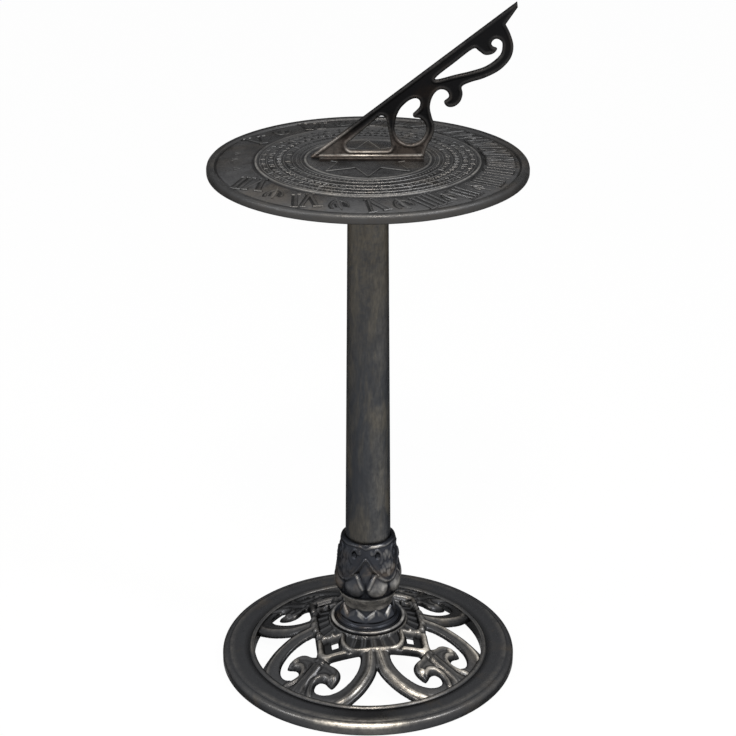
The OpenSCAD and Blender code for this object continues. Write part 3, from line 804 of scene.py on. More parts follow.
def lattice_part():
    half = RIM_IN_R + 4.0
    x, y, depth, faces = plate_grid(
        lattice_depth, (-half, -half), (half, half), LATTICE_STEP
    )
    skin = lattice_relief(x, y, depth)
    over = dome_z(np.hypot(x, y))
    edge = edge_drop(depth, 1.6)
    # painted shade on the walls of every opening and over the start of its rounded edge
    skin.darken(0.9 * unit(1.5 - depth / 1.7))
    turn = math.radians(PATTERN_TURN)
    c, s = math.cos(turn), math.sin(turn)
    across, back = x * c - y * s, x * s + y * c
    # wear and painted highlights are weakened towards the back and the left, away from the lamps
    side = np.clip(0.6 - back / 120, 0.33, 0.95) * np.clip(0.8 + across / 100, 0.3, 1.3)
    return plate(
        across, back, faces, over + skin.level - 0.5 * edge, over - LATTICE_T + 0.8 * edge,
        skin.wear_and_sheen * unit((depth - 0.6) / 1.2) * side, skin.painted_shade,
    )


def make_base(material):
    make_piece(
        "base_form", join_parts([lattice_part(), rim_part()]), "pedestal",
        "base_casting", material,
    )


# Collar


def collar_outline():
    """Outside of the collar from the flange bead up to the column."""
    low = [(FLANGE_R - 0.3, 0.0), (FLANGE_R, 0.4)]
    for step in range(7):
        across, up = polar(FLANGE_BEAD, math.radians(100 * step / 6))
        low.append((FLANGE_R - FLANGE_BEAD + across, 4.0 - FLANGE_BEAD + up))
    return np.vstack([low, smooth_line(COLLAR_LINE, 8)]) + (0, HUB_Z)


# The collar's relief repeats four times round. Places on it are degrees from the middle of
# a side and height over the hub; one degree is this long on the bulb.
ARC = math.radians(1.0) * 31.0
COLLAR_TURN = -4.5
COLLAR_SEGMENTS = 360
OGEE_LINE = [(0, 85.5), (4, 82.5), (9, 78), (16, 72), (25, 66), (35, 61), (45, 58)]
PETAL_STREAK = [(22, 68), (18, 66), (13, 62), (9, 57), (5, 52)]
TIP_LINE = [(0, 96.4), (6, 97.6), (15, 98.8), (30, 98.8), (45, 98)]
LID_LINE = [(17, 91), (21, 94.5), (27, 94), (32, 90), (33, 84), (29, 80)]
EYE_AT = (24.5, 88.5)
EYE_REACH = (6.0, 3.6)
# leaflets: place, half width and half height
LEAFLETS = (
    (45, 90, 3.4, 5.0), (39, 87, 2.6, 5.6), (41, 77, 3.2, 5.0), (35, 74, 2.4, 5.4),
    (45, 68, 3.0, 5.6), (30, 72, 2.0, 4.0), (12, 92, 2.2, 3.4),
)
PETAL_AT = (22.3, 53.0)
PETAL_REACH = (22.6, 13.5)
LOZENGE_AT = 69.0
LOZENGE_REACH = (12.5, 15.5)


def mound(a, height, centre, reach):
    """Smooth mound: 1 at its centre, 0 on its oval foot."""
    gap = ((a - centre[0]) / reach[0]) ** 2 + ((height - centre[1]) / reach[1]) ** 2
    return np.sqrt(unit(1 - gap))


def band(value, low, high, soft):
    """1 between two values, falling to 0 over the soft width outside them."""
    return unit((value - low) / soft + 1) * unit((high - value) / soft + 1)


def collar_relief(angle, height):
    """Leaf relief, its level out from the collar's outline. angle is in degrees."""
    a = np.abs((angle + 45) % 90 - 45)
    # degrees from the front, more to the right; the front right takes the most painted highlight
    face = (angle + COLLAR_TURN + 180) % 360 - 180

    # two large petals to a side, painted shade in the gap between them and a painted shadow
    # under them; the right petals, towards the key lamp, take the stronger painted highlight
    petal = mound(a, height, PETAL_AT, PETAL_REACH)
    skin = Relief(
        3.6 * petal - 1.3 * band(height, 40, 68, 4),
        (0.45 + 0.5 * (face > 0)) * unit(petal * 2 - 0.8) * unit((64 - height) / 12),
        unit(1.3 - np.minimum(a, 45 - a) / 2.6) * band(height, 43, 58, 3),
    )
    skin.darken(0.95 * band(height, 38.2, 40.2, 2.0))

    # pointed leaf over the gap, painted shade along its outline and a faint painted highlight
    # low on it
    inner = 1 - a / LOZENGE_REACH[0] - np.abs(height - LOZENGE_AT) / LOZENGE_REACH[1]
    skin.level = np.where(inner > 0, 0.4 + 1.6 * np.clip(inner, 0, 0.6), skin.level)
    skin.wear_and_sheen = np.where(inner > 0, 0.25 * unit(inner * 3 - 0.9) * (height < 70), skin.wear_and_sheen)
    skin.darken(0.9 * unit(1 - np.abs(inner) / 0.16))

    def stroke(line, half_width, high, shine, dark):
        gap = line_distance(a * ARC, height, smooth_line(line, 5) * (ARC, 1))
        skin.ridge(gap, half_width, high, shine, dark, 0.7, clears_shade=True)
        return gap

    # ground over the ogee is a second, taller leaf with a stem and two hollows
    above = unit((height - np.interp(a, *zip(*OGEE_LINE))) / 1.2)
    skin.level = skin.level * (1 - above) + 1.4 * above * unit((97 - height) / 12)
    stroke(OGEE_LINE, 1.7, 1.5, 0.35, 0.95)
    eye = mound(a, height, EYE_AT, EYE_REACH)
    skin.level -= 2.2 * eye
    # painted shade in the two hollows
    skin.darken(unit(eye * 2))
    stroke(LID_LINE, 1.6, 1.1, 0.1, 0.3)
    stroke(TIP_LINE, 1.2, 0.5, 0.25, 0.7)
    # painted shade on the top face round the column
    skin.darken(0.9 * unit((height - 99.6) / 0.8))
    for at_a, at_height, half_width, half_height in LEAFLETS:
        # each leaflet leans towards the middle of the leaf
        lean = a + 0.35 * (height - at_height)
        leaf = mound(lean, height, (at_a, at_height), (half_width / ARC, half_height))
        skin.level += 0.9 * leaf
        # painted shade round each leaflet's foot, a painted highlight on its top
        skin.darken(0.6 * (leaf > 0))
        skin.painted_shade = np.where(leaf > 0.4, 0.0, skin.painted_shade)
        skin.shine(0.24 * unit(leaf * 2 - 1))
    # painted highlight streaking down the petal
    streak_gap = stroke(PETAL_STREAK, 1.4, 0.9, 0.6, 0.6)
    # the waist under the bulb takes the bright colour
    skin.shine(1.3 * band(height, 23, 37, 2))

    # eight small petals over the flange, painted highlights on their slanting edges at a few
    # places across the front
    small = np.abs(((angle + 22.5) % 45) - 22.5) / 22.5
    tip = 14.5 + 7.5 * small ** 0.9
    petal = unit((tip - height) / 1.2) * unit((height - 7.5) / 3.0)
    skin.level += petal * (1.0 + 1.4 * small)
    edge = 1.3 * crest(tip - height - 2.2, 2.8) * band(small, 0.25, 0.75, 0.14)
    worn = 0.12 + bell(face + 20, 9) + bell(face - 12, 9) + bell(face - 48, 6)
    skin.shine(edge * (height > 8) * np.minimum(worn, 1.2))
    # painted shade just over the edge of each small petal
    skin.darken(0.9 * unit(1 - np.abs(height - tip - 1.0) / 1.3) * (height < 26))
    # upper edge of the leaves, with a painted highlight at the front right
    tip_z = np.interp(a, *zip(*TIP_LINE))
    skin.shine(bell(face - 15, 12) * crest(height - tip_z, 1.6))

    # over the waist the painted highlights are weak on the left side, away from the key lamp,
    # except for the streaks on the front petals
    streak = 1.5 * crest(streak_gap, 2.2) * (np.abs(face) < 30)
    side = np.clip(0.7 + face / 60, 0.25, 1.4) * (1 - 0.6 * unit((face - 38) / 20))
    skin.wear_and_sheen *= np.where(height > 40, np.maximum(side, streak), 1.0)
    # painted shade over the upper left side
    skin.darken(np.clip((5 - face) / 40, 0, 0.45) * (height > 62))
    return skin


def make_collar(material):
    outer = collar_outline()
    rows = len(outer)
    turn = np.tile(np.arange(COLLAR_SEGMENTS) * 2 * np.pi / COLLAR_SEGMENTS, (rows, 1))
    grid_r, grid_z = (np.repeat(outer[:, k:k + 1], COLLAR_SEGMENTS, axis=1) for k in (0, 1))
    over = grid_z - HUB_Z
    skin = collar_relief((np.degrees(turn) + 90 - COLLAR_TURN) % 360, over)
    fade = unit((over - 7) / 2) * unit((COLLAR_TOP - grid_z) / 3)
    # flange bead takes a painted highlight, the grooves inside it painted shade
    bead_shine = 0.65 * (grid_r > FLANGE_R - 2.4) * unit((over - 1.6) / 1.6)
    groove = (grid_r < FLANGE_R - 3) & (over < 7)
    ring = groove & (np.abs(over - 5.1) < 0.4)
    wear_and_sheen = np.maximum(skin.wear_and_sheen * fade, bead_shine)
    painted_shade = np.where(ring, 0.1, np.where(groove, 0.75, skin.painted_shade * fade))
    radius = grid_r + skin.level * fade
    points = np.stack([radius * np.cos(turn), radius * np.sin(turn), grid_z], 2)
    form = as_part(
        points.reshape(-1, 3), loft(rows, COLLAR_SEGMENTS), wear_and_sheen.ravel(), painted_shade.ravel()
    )
    # inner wall closes the shell against the column and down to the hub
    inner = [
        outer[-1], (24.2, outer[-1, 1] - 0.3), (24.4, COLUMN_FOOT), (BORE_R, COLUMN_FOOT),
        (BORE_R, HUB_Z), (outer[0, 0], HUB_Z),
    ]
    make_piece(
        "collar_form", join_parts([form, lathe(inner, COLLAR_SEGMENTS)]), "pedestal",
        "leaf_collar", material, 55.0,
    )


# Column


def make_column(material):
    heights = np.linspace(COLUMN_FOOT, COLUMN_TOP, COLUMN_ROWS)
    outer = np.linspace(COLUMN_FOOT_R, COLUMN_HEAD_R, COLUMN_ROWS)
    rows = np.vstack([
        np.stack([outer, heights], 1), (COLUMN_HEAD_R - COLUMN_WALL, COLUMN_TOP),
        (COLUMN_FOOT_R - COLUMN_WALL, COLUMN_FOOT),
    ])
    points, faces, _, _ = lathe(rows, 128, True)
    # painted highlight along its front right side, most of all near the collar, and painted
    # shade over the lower half of its front left
    turn = polar_of(points)[1] + 58.0
    low = unit((COLUMN_TOP - points[:, 2]) / (COLUMN_TOP - COLUMN_FOOT))
    wear_and_sheen = 0.42 * bell(turn, 30.0) * (0.25 + 0.75 * low ** 3)
    painted_shade = 0.4 * bell(turn + 72.0, 24.0) * unit(low * 2)
    make_piece(
        "column_form", as_part(points, faces, wear_and_sheen, painted_shade), "pedestal",
        "column_tube", material,
    )


# Dial


def dial_face_z(x, y):
    """Height of the plate's face at a point, without its rings."""
    radius = math.hypot(x, y)
    if radius > HOUR_RING_R:
        share = (HOUR_OUT_R - radius) / (HOUR_OUT_R - HOUR_RING_R)
        return HOUR_Z + HOUR_RISE * max(share, 0.0)
    share = (radius - MEDALLION_R) / (HOUR_RING_R - 3.0 - MEDALLION_R)
    return FACE_Z + (RING_FOOT_Z - FACE_Z) * min(max(share, 0.0), 1.0)


def dial_profile():
    """Rows of (radius, height, wear and painted highlight, painted shade) from the underside
    round to the centre.
    """
    inner, ring_top = DIAL_R - RIM_W, HOUR_Z + HOUR_RISE
    # the last two values of each row: painted shade under the plate, on the rim's side and at
    # the feet of the rings; painted highlights along the rim's top edge and on the crests of the
    # rings
    rows = [(0, HUB_SEAT_Z, 0, 0.5), (inner, HUB_SEAT_Z, 0, 0.5), (inner, DIAL_Z, 0, 0.5)]
    rows += rows_from(DIAL_R, DIAL_Z, [
        (-1.6, 0, 0, 1), (-0.4, 0.7, 0, 1), (0, 1.9, 0.1, 1), (0, 5.4, 0.1, 0.95),
        (-0.5, 7.3, 0.2, 0.9), (-1.5, 8.5, 0.45, 0.8),
    ])
    rows += rows_from(DIAL_R, RIM_TOP_Z, [(-2.6, 0, 0.3, 0.6), (-4.4, 0, 0.05, 0.4)])
    rows += rows_from(inner, RIM_TOP_Z, [(1.4, -0.05, 0.05, 0.3), (0.5, -0.5, 0.1, 0.2)])
    rows += rows_from(inner, HOUR_Z, [(0.1, -0.6, 0, 1), (-0.5, -0.9, 0, 1), (-1.3, -0.7, 0, 1)])
    rows.append((HOUR_OUT_R, HOUR_Z, 0, 0))
    rows += rows_from(HOUR_RING_R, ring_top, [
        (3.4, -0.35, 0, 0), (2.2, -0.5, 0, 0.75), (0.7, -0.5, 0, 1), (0.1, 0.1, 0, 1),
    ])
    rows += rows_from(HOUR_RING_R, RING_CREST_Z, [
        (-0.3, -0.35, 0.3, 0), (-0.9, 0, 0.55, 0), (-1.8, 0, 0.4, 0), (-2.5, -0.4, 0, 0),
    ])
    rows += rows_from(HOUR_RING_R, RING_FOOT_Z, [(-3.2, 0, 0, 0.6), (-3.8, 0.02, 0, 0)])
    for radius in reversed(RING_ROWS):
        rows += rows_from(radius, dial_face_z(radius, 0), [
            (1.5, -0.02, 0, 0), (1.1, 0, 0, 0.7), (0.75, 0, 0, 0.7), (0.3, 0.55, 0.15, 0),
            (-0.3, 0.55, 0.15, 0), (-0.8, 0, 0, 0.4),
        ])
    rows += rows_from(MEDALLION_R, FACE_Z, [
        (1.4, -0.2, 0, 0.7), (0.6, 0, 0, 0.7), (0, 0.7, 0.3, 0), (-0.8, 0.85, 0.6, 0),
        (-1.6, 0.7, 0.3, 0), (-2.4, 0, 0, 0.5), (-3.2, 0, 0, 0),
    ])
    return rows + [(0, FACE_Z, 0, 0)]


def shaded_stroke(path, width, height, wear_and_sheen):
    """Raised stroke on the dial with a painted shadow along its left side, away from the key
    lamp; the stroke itself takes some painted shade too.
    """
    path = np.asarray(path, float)
    shade = ribbon(path - (0.35 * width, 0), width + 1.5, 0.14, dial_face_z, painted_shade=1.0)
    return [shade, ribbon(path, width, height, dial_face_z, wear_and_sheen, 0.55)]


def bead(radius, a, size, height, wear_and_sheen):
    """Small raised dome on the dial, at a radius and an angle."""
    cx, cy = polar(radius, a)
    base = dial_face_z(cx, cy)
    points, shine = [], []
    # its painted highlight grows towards its top, and the whole bead takes some painted shade
    for scale, up, share in ((1.0, -0.3, 0.0), (0.86, 0.45, 0.3), (0.5, 0.86, 1.0)):
        for turn in ring_of(BEAD_SIDES):
            dx, dy = polar(size * scale, turn)
            points.append((cx + dx, cy + dy, base + up * height))
            shine.append(share * wear_and_sheen)
    points.append((cx, cy, base + height))
    shine.append(wear_and_sheen)
    *sides, foot, top = loft(3, BEAD_SIDES, capped=True)
    cap = [(top[k], top[(k + 1) % BEAD_SIDES], len(points) - 1) for k in range(BEAD_SIDES)]
    return as_part(points, [foot] + sides + cap, shine, 0.4)


def placed(points, side, hour):
    """Turns local points (across, outward) to their place along an hour line."""
    points = np.asarray(points, float)
    place = math.radians(float(np.interp(hour, range(len(HOUR_PLACE)), HOUR_PLACE)))
    # the hour line's own angle, about the foot of the style
    slope = math.radians(15 * hour)
    lean = math.atan2(math.sin(math.radians(STYLE_ANGLE)) * math.sin(slope), math.cos(slope))
    out_x, out_y = polar(1.0, side * lean)
    middle = np.array(polar(FIGURE_R, side * place))
    return middle + points[:, :1] * (out_y, -out_x) + points[:, 1:] * (out_x, out_y)


def figure_strokes(text):
    """Strokes of a Roman figure as (line, width), its foot inward and its top outward."""
    half = FIGURE_H / 2
    at = -sum(SIGN_WIDTH[c] for c in text) / 2
    strokes = []
    for c in text:
        middle, spread = at + SIGN_WIDTH[c] / 2, SIGN_SPREAD * SIGN_WIDTH[c]
        at += SIGN_WIDTH[c]
        for k, leg in enumerate(SIGN_LEGS[c]):
            low, high = (middle + spread * share for share in leg)
            strokes.append(([(low, -half), (high, half)], THIN if k else THICK))
            for x, y in ((high, half), (low, -half)):
                strokes.append(([(x - SERIF, y), (x + SERIF, y)], SERIF_W))
    return strokes


def refine(line, pieces=6):
    """Adds points along a straight-sided line."""
    line = np.asarray(line, float)
    rows = []
    for a, b in zip(line[:-1], line[1:]):
        rows += [a + (b - a) * k / pieces for k in range(pieces)]
    return np.array(rows + [line[-1]])


def figure_parts():
    parts = []
    for hour in range(8):
        for side, names in ((-1, AFTERNOON), (1, MORNING)):
            if side > 0 and not hour:
                continue
            # the late afternoon figures take more of the bright colour
            shine = 0.1 if hour > 4 and side < 0 else 0.03
            for line, width in figure_strokes(names[hour]):
                parts += shaded_stroke(placed(refine(line), side, hour), width, 1.2, shine)
    return parts


def half_hour_parts():
    """Leaf of three lobes between the hours, with flat strips of painted shade beside its stem.
    """
    parts = []
    for hour in (2.5, 3.5, 4.5, 5.5, 6.5):
        size = 1.35 if hour > 4 else 1.0 if hour > 3 else 0.75
        for side in (-1, 1):
            stem = placed(refine([(0, -9), (0, 9)]) * size, side, hour)
            width = size * np.interp(np.linspace(0, 1, len(stem)), (0, 0.6, 1), (1.2, 3.6, 1.0))
            parts.append(ribbon(stem, width, 0.9, dial_face_z, 0.2))
            for turn in (-size, size):
                lobe = smooth_line([(0, -7), (3.4, -4.5), (5.8, 0.5), (5.4, 5.5)], 4)
                lobe = placed(lobe * (turn, size), side, hour)
                parts += shaded_stroke(lobe, 1.9 * size, 0.8, 0.25)
                # flat strip of painted shade
                hollow = np.array([(2.6, -2.0), (2.9, 1.0), (2.7, 4.4)]) * (turn, size)
                hollow = placed(hollow, side, hour)
                parts.append(ribbon(hollow, 1.9 * size, 0.16, dial_face_z, painted_shade=1.0))
    return parts


def hour_line_parts():
    """Fine lines along the quarter hours, where the hours crowd together."""
    parts = []
    for step in range(15):
        for side in (-1, 1) if step % 4 else ():
            line = placed(refine([(0, -13), (0, 13.5)]), side, step / 4)
            parts += shaded_stroke(line, 0.9, 0.5, 0.02)
    return parts


# Small pointed marks on the plain part of the hour ring: place and size
MARKS = ((-127, 27, 3.4), (-129, 8, 3.8), (-125, -22, 3.4))


def mark_parts():
    parts = []
    for x, y, size in MARKS:
        for turn in (-size, size):
            line = refine([(x - 0.6 * size, y + turn), (x + size, y)], 3)
            parts += shaded_stroke(line, 1.5, 0.6, 0.2)
    return parts


def ring_of(count, phase=0.0):
    return [2 * math.pi * (k + phase) / count for k in range(count)]


def spoke(a, radii, lean=0.0):
    """Short line near one angle; lean is how far its ends turn about the centre."""
    return [polar(r, a + t) for r, t in zip(radii, np.linspace(-lean, lean, len(radii)))]


# The rows take painted glints at the front left and along the right: degrees, spread, share
BRIGHT_ARCS = ((232, 20, 0.5), (335, 26, 0.8), (20, 16, 0.45))


def ring_shine(a):
    shine = 0.08
    for centre, spread, high in BRIGHT_ARCS:
        shine += high * bell((math.degrees(a) - centre + 180) % 360 - 180, spread)
    return min(shine, 1.0)


def ornament_parts():
    """Rows of beads, ticks and chevrons between the two raised rings."""
    parts = [bead(BEAD_ROW, a, 1.2, 0.7, 0.8 * ring_shine(a)) for a in ring_of(96)]
    for k, a in enumerate(ring_of(88, 0.5)):
        radii, width = (LONG_MARK, 1.1) if k % 4 == 1 else (SHORT_MARK, 1.7)
        if k % 9 != 8:
            parts += shaded_stroke(spoke(a, radii), width, 0.8, ring_shine(a))
    for a in ring_of(64):
        for turn in (-0.024, 0.024):
            arm = refine([polar(CHEVRON_ROW, a + turn), polar(CHEVRON_TIP, a)], 2)
            parts += shaded_stroke(arm, 1.1, 0.8, ring_shine(a))
        parts.append(bead(CHEVRON_BEAD, a + 0.049, 1.0, 0.7, ring_shine(a)))
    for k, a in enumerate(ring_of(104)):
        line = spoke(a, LONG_TICK if k % 3 else SHORT_TICK, (0.0, 0.014, -0.014, 0.0)[k % 4])
        if k % 11 != 10:
            parts += shaded_stroke(line, 1.8 if k % 5 == 2 else 1.2, 0.8, ring_shine(a))
    for k, a in enumerate(ring_of(132)):
        if k % 3:
            parts.append(bead(OUTER_ROW, a, 1.2, 0.75, ring_shine(a)))
        else:
            parts += shaded_stroke(spoke(a, OUTER_TICK), 1.5, 0.8, ring_shine(a))
    return parts


def star_parts():
    """Flat eight-pointed star in two halves, with a thin raised edge."""
    parts = []
    low, high = FACE_Z - 0.3, FACE_Z + STAR_RISE
    for side in (-1, 1):
        corners = [
            polar(STAR_WAIST if k % 2 else STAR_TIP, side * math.pi / 8 * k) for k in range(1, 8)
        ]
        # the halves end beside the gnomon's foot
        cut_x = STAR_TIP + (corners[0][0] - STAR_TIP) * FOOT_CLEAR / abs(corners[0][1])
        outline = [(cut_x, side * FOOT_CLEAR)] + corners + [(-cut_x, side * FOOT_CLEAR)]
        points = [(x, y, z) for z in (high, low) for x, y in outline]
        # the star takes a little painted shade, its raised edge a painted highlight
        parts.append(as_part(points, loft(2, len(outline), capped=True), 0.0, 0.2))
        for edge in zip(outline[:-1], outline[1:]):
            parts.append(ribbon(refine(edge, 2), 1.1, 0.4, lambda x, y: high, 0.5))
    return parts


def shaded_back(part, share):
    """Part with less wear and painted highlight and more painted shade towards the back of the
    dial.
    """
    points, faces, wear_and_sheen, painted_shade = part
    back = share * unit(points[:, 1] / DIAL_R + 0.1) ** 0.7
    return points, faces, wear_and_sheen * (1 - back), np.maximum(painted_shade, back)


def make_dial(material):
    points, faces, wear_and_sheen, painted_shade = lathe(dial_profile(), 256)
    # painted shade on the rim's side, darkest away from the front, and on its top, darkest at
    # the back; the rim's painted highlight is weak except at the front
    radius = polar_of(points)[0]
    front = unit(-points[:, 1] / DIAL_R) ** 4
    on_rim = radius > DIAL_R - 5
    far = unit(points[:, 1] / DIAL_R + 0.2) ** 0.6 * (radius > DIAL_R - RIM_W - 1)
    painted_shade = np.maximum(np.where(on_rim, painted_shade * (1 - 0.12 * front), painted_shade), far)
    wear_and_sheen = np.where(on_rim, wear_and_sheen * (0.1 + 0.2 * front), wear_and_sheen)
    form = shaded_back((points, faces, wear_and_sheen, painted_shade), 0.6)
    make_piece(
        "dial_form", form, "dial_head", "dial_plate", material, 50.0
    )
    relief = figure_parts() + half_hour_parts() + hour_line_parts() + mark_parts()
    relief = shaded_back(join_parts(relief + ornament_parts()), 0.5)
    star = join_parts(star_parts())
    for name, part in (("dial_relief", relief), ("compass_star", star)):
        make_piece(name, part, "dial_head", None, material, 35.0)


# Gnomon


def triangle_outline():
    rows = []
    corners = np.array(TRIANGLE_CORNERS, float)
    for before, at, after in zip(np.roll(corners, 1, 0), corners, np.roll(corners, -1, 0)):
        first = math.atan2(*(at - before)[::-1]) - math.pi / 2
        last = math.atan2(*(after - at)[::-1]) - math.pi / 2
        if last < first:
            last += 2 * math.pi
        rows += [at + polar(TRIANGLE_ROUND, turn) for turn in np.linspace(first, last, 9)]
    return np.array(rows)


def style_z(x):
    return STYLE_START[1] + (x - STYLE_START[0]) * math.tan(math.radians(STYLE_ANGLE))


def gnomon_outlines():
    """The outside and the three openings."""
    back = smooth_line(BACK_EDGE, 4)
    outer = np.vstack([
        [(STYLE_START[0], 1.0), STYLE_START, (STYLE_END_X, style_z(STYLE_END_X)),
         (STYLE_END_X + 0.6, style_z(STYLE_END_X) - 5)],
        back, [(back[-1][0], 1.0)],
    ])
    openings = [smooth_line(line, 4, True) for line in (UPPER_OPENING, ROUND_OPENING)]
    return [outer, *openings, triangle_outline()]


def foot_part():
    """Flange under the plate, its long edges rolled over."""
    half, high, roll = FOOT_W / 2, FOOT_H, 1.5
    section = [(-half, 0.02), (-half, high - roll)]
    for turn in (30, 60, 90):
        across, up = polar(roll, math.radians(turn))
        section.append((-half + roll - across, high - roll + up))
    section += [(-half + 3.0, high - 0.3), (-half + 3.6, high - 1.0), (-3.2, high - 1.0)]
    section += [(-y, z) for y, z in reversed(section)]
    # painted highlight on the rolled edges; the whole foot takes painted shade
    shine = [0, 0, 0.05, 0.1, 0.05, 0, 0, 0]
    # it thins towards both ends, and its left end takes a painted highlight
    ends = [(0, 0.55), (0.5, 0.85), (1.6, 1.0)]
    length = FOOT_X[1] - FOOT_X[0]
    steps = [(FOOT_X[0] + a, s) for a, s in ends]
    steps += [(FOOT_X[0] + length * k / 10, 1.0) for k in range(1, 10)]
    steps += [(FOOT_X[1] - a, s) for a, s in reversed(ends)]
    points, wear_and_sheen = [], []
    for x, scale in steps:
        for (y, z), r in zip(section, shine + shine[::-1]):
            points.append((x, y * (0.9 + 0.1 * scale), FACE_Z + 0.02 + (z - 0.02) * scale))
            wear_and_sheen.append(min(r * (12 if x < FOOT_X[0] + 4 else 1), 1.0))
    return as_part(points, loft(len(steps), len(section), capped=True), wear_and_sheen, 0.7)


def make_gnomon(material):
    outlines = gnomon_outlines()

    def solid(x, z):
        depth = [-outline_distance(x, z, outlines[0])]
        depth += [outline_distance(x, z, hole) for hole in outlines[1:]]
        return np.minimum.reduce(depth)

    x, z, depth, faces = plate_grid(
        solid, (STYLE_START[0] - 2, -1), (STYLE_END_X + 3, style_z(STYLE_END_X) + 3),
        GNOMON_STEP,
    )
    half = GNOMON_T / 2
    # both faces are sunk inside a raised edge
    sunk = unit((depth - 2.6) / 0.9)
    side = np.where(depth <= 0, half - 1.3, half - edge_drop(depth, 1.3) - 0.8 * sunk)
    # rusty low down, nearly black above: painted highlights along the edges, stronger low down,
    # and painted shade over the sunk faces above
    low = unit((34 - z) / 16)
    wear_and_sheen = np.where(depth <= 0.3, 0.3, 0.56 * unit(1 - np.abs(depth - 1.6) / 1.4))
    skin = Relief(side, wear_and_sheen * (0.17 + 0.75 * low), 0.5 * sunk * (1 - 0.9 * low))
    # painted highlights round the triangle and where the style's top edge comes down to the
    # dial;
    # the low tip takes the bright colour too
    near = outline_distance(x, z, outlines[-1])
    skin.shine(0.6 * crest(near - 0.9, 1.3) * (z < 42))
    skin.shine(0.8 * unit((-24 - x) / 14))
    skin.shine(0.8 * low * crest(style_z(x) - z - 1.6, 1.6))
    # painted highlight along the line where the plate meets the foot
    foot_line_highlight = 1.7 * bell(z - 4.8, 0.9) * (x > FOOT_X[0]) * (x < FOOT_X[1] - 1)
    wear_and_sheen = np.where(z < 8, np.maximum(skin.wear_and_sheen * (z > 5.5), foot_line_highlight), skin.wear_and_sheen)
    points, *rest = plate(x, z + FACE_Z, faces, -side, side, wear_and_sheen, skin.painted_shade, wear_and_sheen, skin.painted_shade)
    make_piece(
        "gnomon_form", join_parts([(points[:, [0, 2, 1]], *rest), foot_part()]), "dial_head",
        "gnomon", material, 50.0,
    )


# Plain CAD pieces keep their shape and take a material


def dress(nodes, material):
    for name in nodes:
        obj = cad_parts[name]
        if obj.material_slots:
            for slot in obj.material_slots:
                slot.material = material
        else:
            obj.data.materials.append(material)


# Stage

SKY_STRENGTH = 0.5
FLOOR_GLOW = 0.965
FLOOR_HALF = 6.0


def make_camera():
    data = bpy.data.cameras.new("view")
    data.lens = CAMERA_LENS
    data.sensor_width = SENSOR_WIDTH
    data.clip_start, data.clip_end = 0.05, 50.0
    obj = link(bpy.data.objects.new("view", data))
    obj.location = CAMERA_PLACE
    obj.rotation_euler = (math.radians(90.0 - CAMERA_PITCH), 0.0, 0.0)
    bpy.context.scene.camera = obj


def make_lamp(name, place, aim_z, size, watts, colour=(1.0, 1.0, 1.0)):
    """Round lamp that points at a height on the column's axis."""
    data = bpy.data.lights.new(name, "AREA")
    data.shape, data.size, data.energy = "DISK", size, watts
    data.color = colour
    obj = link(bpy.data.objects.new(name, data))
    obj.location = place
    aim = Vector((0, 0, aim_z)) - Vector(place)
    obj.rotation_euler = aim.to_track_quat("-Z", "Y").to_euler()


def seen_white(tree, base, share):
    """Mixes a white glow into a shader, for rays that look straight at it."""
    rays = tree.nodes.new("ShaderNodeLightPath").outputs
    seen = work_out(tree, rays["Is Camera Ray"], rays["Is Glossy Ray"], "MAXIMUM")
    seen = work_out(tree, seen, rays["Is Transmission Ray"], "MAXIMUM")
    white = add_node(tree, "ShaderNodeEmission", Color=(1.0, 1.0, 1.0, 1.0), Strength=1.0)
    mix = add_node(tree, "ShaderNodeMixShader", Fac=work_out(tree, seen, share))
    tree.links.new(base, mix.inputs[1])
    tree.links.new(white.outputs["Emission"], mix.inputs[2])
    return mix.outputs["Shader"]


def make_world():
    world = bpy.data.worlds.new("studio")
    world.use_nodes = True
    tree = world.node_tree
    tree.nodes.clear()
    sky = add_node(
        tree, "ShaderNodeBackground", Color=(0.97, 0.98, 1.0, 1.0), Strength=SKY_STRENGTH
    )
    out = tree.nodes.new("ShaderNodeOutputWorld")
    tree.links.new(seen_white(tree, sky.outputs["Background"], 1.0), out.inputs["Surface"])
    bpy.context.scene.world = world


def make_stage():
    view = bpy.context.scene.view_settings
    view.view_transform, view.exposure = "Standard", 0.0
    half = FLOOR_HALF
    mesh = bpy.data.meshes.new("floor")
    corners = [(-half, -half, 0), (half, -half, 0), (half, half, 0), (-half, half, 0)]
    mesh.from_pydata(corners, [], [(0, 1, 2, 3)])
    floor = link(bpy.data.objects.new("floor", mesh))
    material, tree, shader = new_material("floor_white")
    shader.inputs["Base Color"].default_value = (0.9, 0.9, 0.9, 1.0)
    shader.inputs["Roughness"].default_value = 0.9
    out = [n for n in tree.nodes if n.type == "OUTPUT_MATERIAL"][0]
    white = seen_white(tree, shader.outputs["BSDF"], FLOOR_GLOW)
    tree.links.new(white, out.inputs["Surface"])
    mesh.materials.append(material)


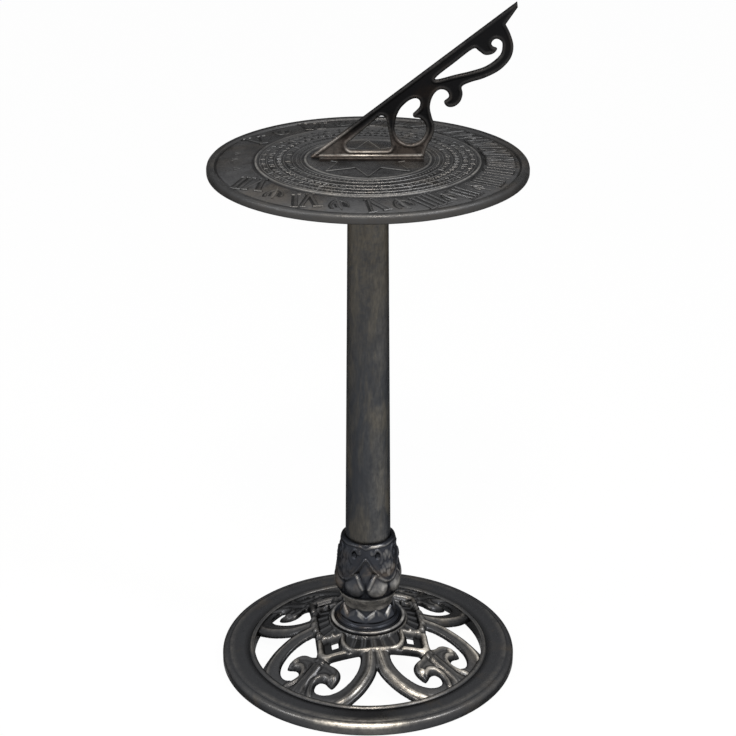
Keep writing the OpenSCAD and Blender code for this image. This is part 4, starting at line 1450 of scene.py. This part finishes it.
BASE_BRONZE = bronze(
    "base_bronze_paint", (0.057, 0.058, 0.061), (0.078, 0.071, 0.064), (0.8, 0.74, 0.65),
    (0.56, 0.74), rough=(0.26, 0.4), grain=0.2, speckle=(600.0, 0.36),
)
COLLAR_BRONZE = bronze(
    "collar_bronze_paint", (0.041, 0.044, 0.052), (0.1, 0.084, 0.072), (0.58, 0.56, 0.525),
    (0.5, 0.68), patch=30.0, rough=(0.28, 0.42), grain=0.15,
)
COLUMN_BRONZE = bronze(
    "column_bronze_paint", (0.048, 0.051, 0.057), (0.094, 0.087, 0.075), (0.34, 0.32, 0.28),
    (0.46, 0.66), streaks=(1, 1, 0.25), patch=48.0, speckle=(420.0, 0.4),
    tint=((0.1, 0.089, 0.072), COLUMN_TOP * MM, (COLUMN_TOP - 230) * MM),
)
DIAL_BRONZE = bronze(
    "dial_bronze_paint", (0.125, 0.126, 0.129), (0.145, 0.132, 0.118), (0.62, 0.6, 0.56),
    (0.47, 0.7), patch=16.0, grain=0.5, speckle=(420.0, 0.5),
    tint=((0.14, 0.124, 0.108), (DIAL_Z + 5) * MM, (DIAL_Z + 7.3) * MM),
)
GNOMON_BRONZE = bronze(
    "gnomon_bronze_paint", (0.013, 0.013, 0.014), (0.024, 0.019, 0.016), (0.34, 0.325, 0.305),
    patch=26.0, rough=(0.36, 0.52),
    tint=((0.112, 0.094, 0.083), (FACE_Z + 8) * MM, (FACE_Z + 34) * MM),
)

make_camera()
make_world()
make_stage()
make_lamp("key", (1.9, -1.1, 2.3), 0.35, 0.5, 40.0)
make_lamp("fill", (-2.3, -1.2, 1.8), 0.35, 0.9, 24.0)
make_lamp("front", (-0.05, -1.35, 2.2), 0.1, 0.35, 30.0, (1.0, 0.92, 0.82))

make_base(BASE_BRONZE)
make_collar(COLLAR_BRONZE)
make_column(COLUMN_BRONZE)
make_dial(DIAL_BRONZE)
make_gnomon(GNOMON_BRONZE)
dress(
    ("foot_plug", "top_plug", "dial_hub"),
    plain_metal("painted_steel", (0.06, 0.058, 0.056), (0.11, 0.10, 0.09), 0.38, (1, 1, 6)),
)
dress(
    ("hub_screws", "gnomon_screws", "gnomon_washers", "tie_rod", "lock_nut", "clamp_washer"),
    plain_metal("zinc_steel", (0.52, 0.52, 0.51), (0.38, 0.37, 0.35), 0.26, (1, 1, 5)),
)
dress(("wing_nut",), plain_metal("cast_brass", (0.52, 0.40, 0.19), (0.36, 0.26, 0.12), 0.34))
dress(("thrust_washer",), nylon("natural_nylon", (0.72, 0.71, 0.66), (0.62, 0.60, 0.54)))
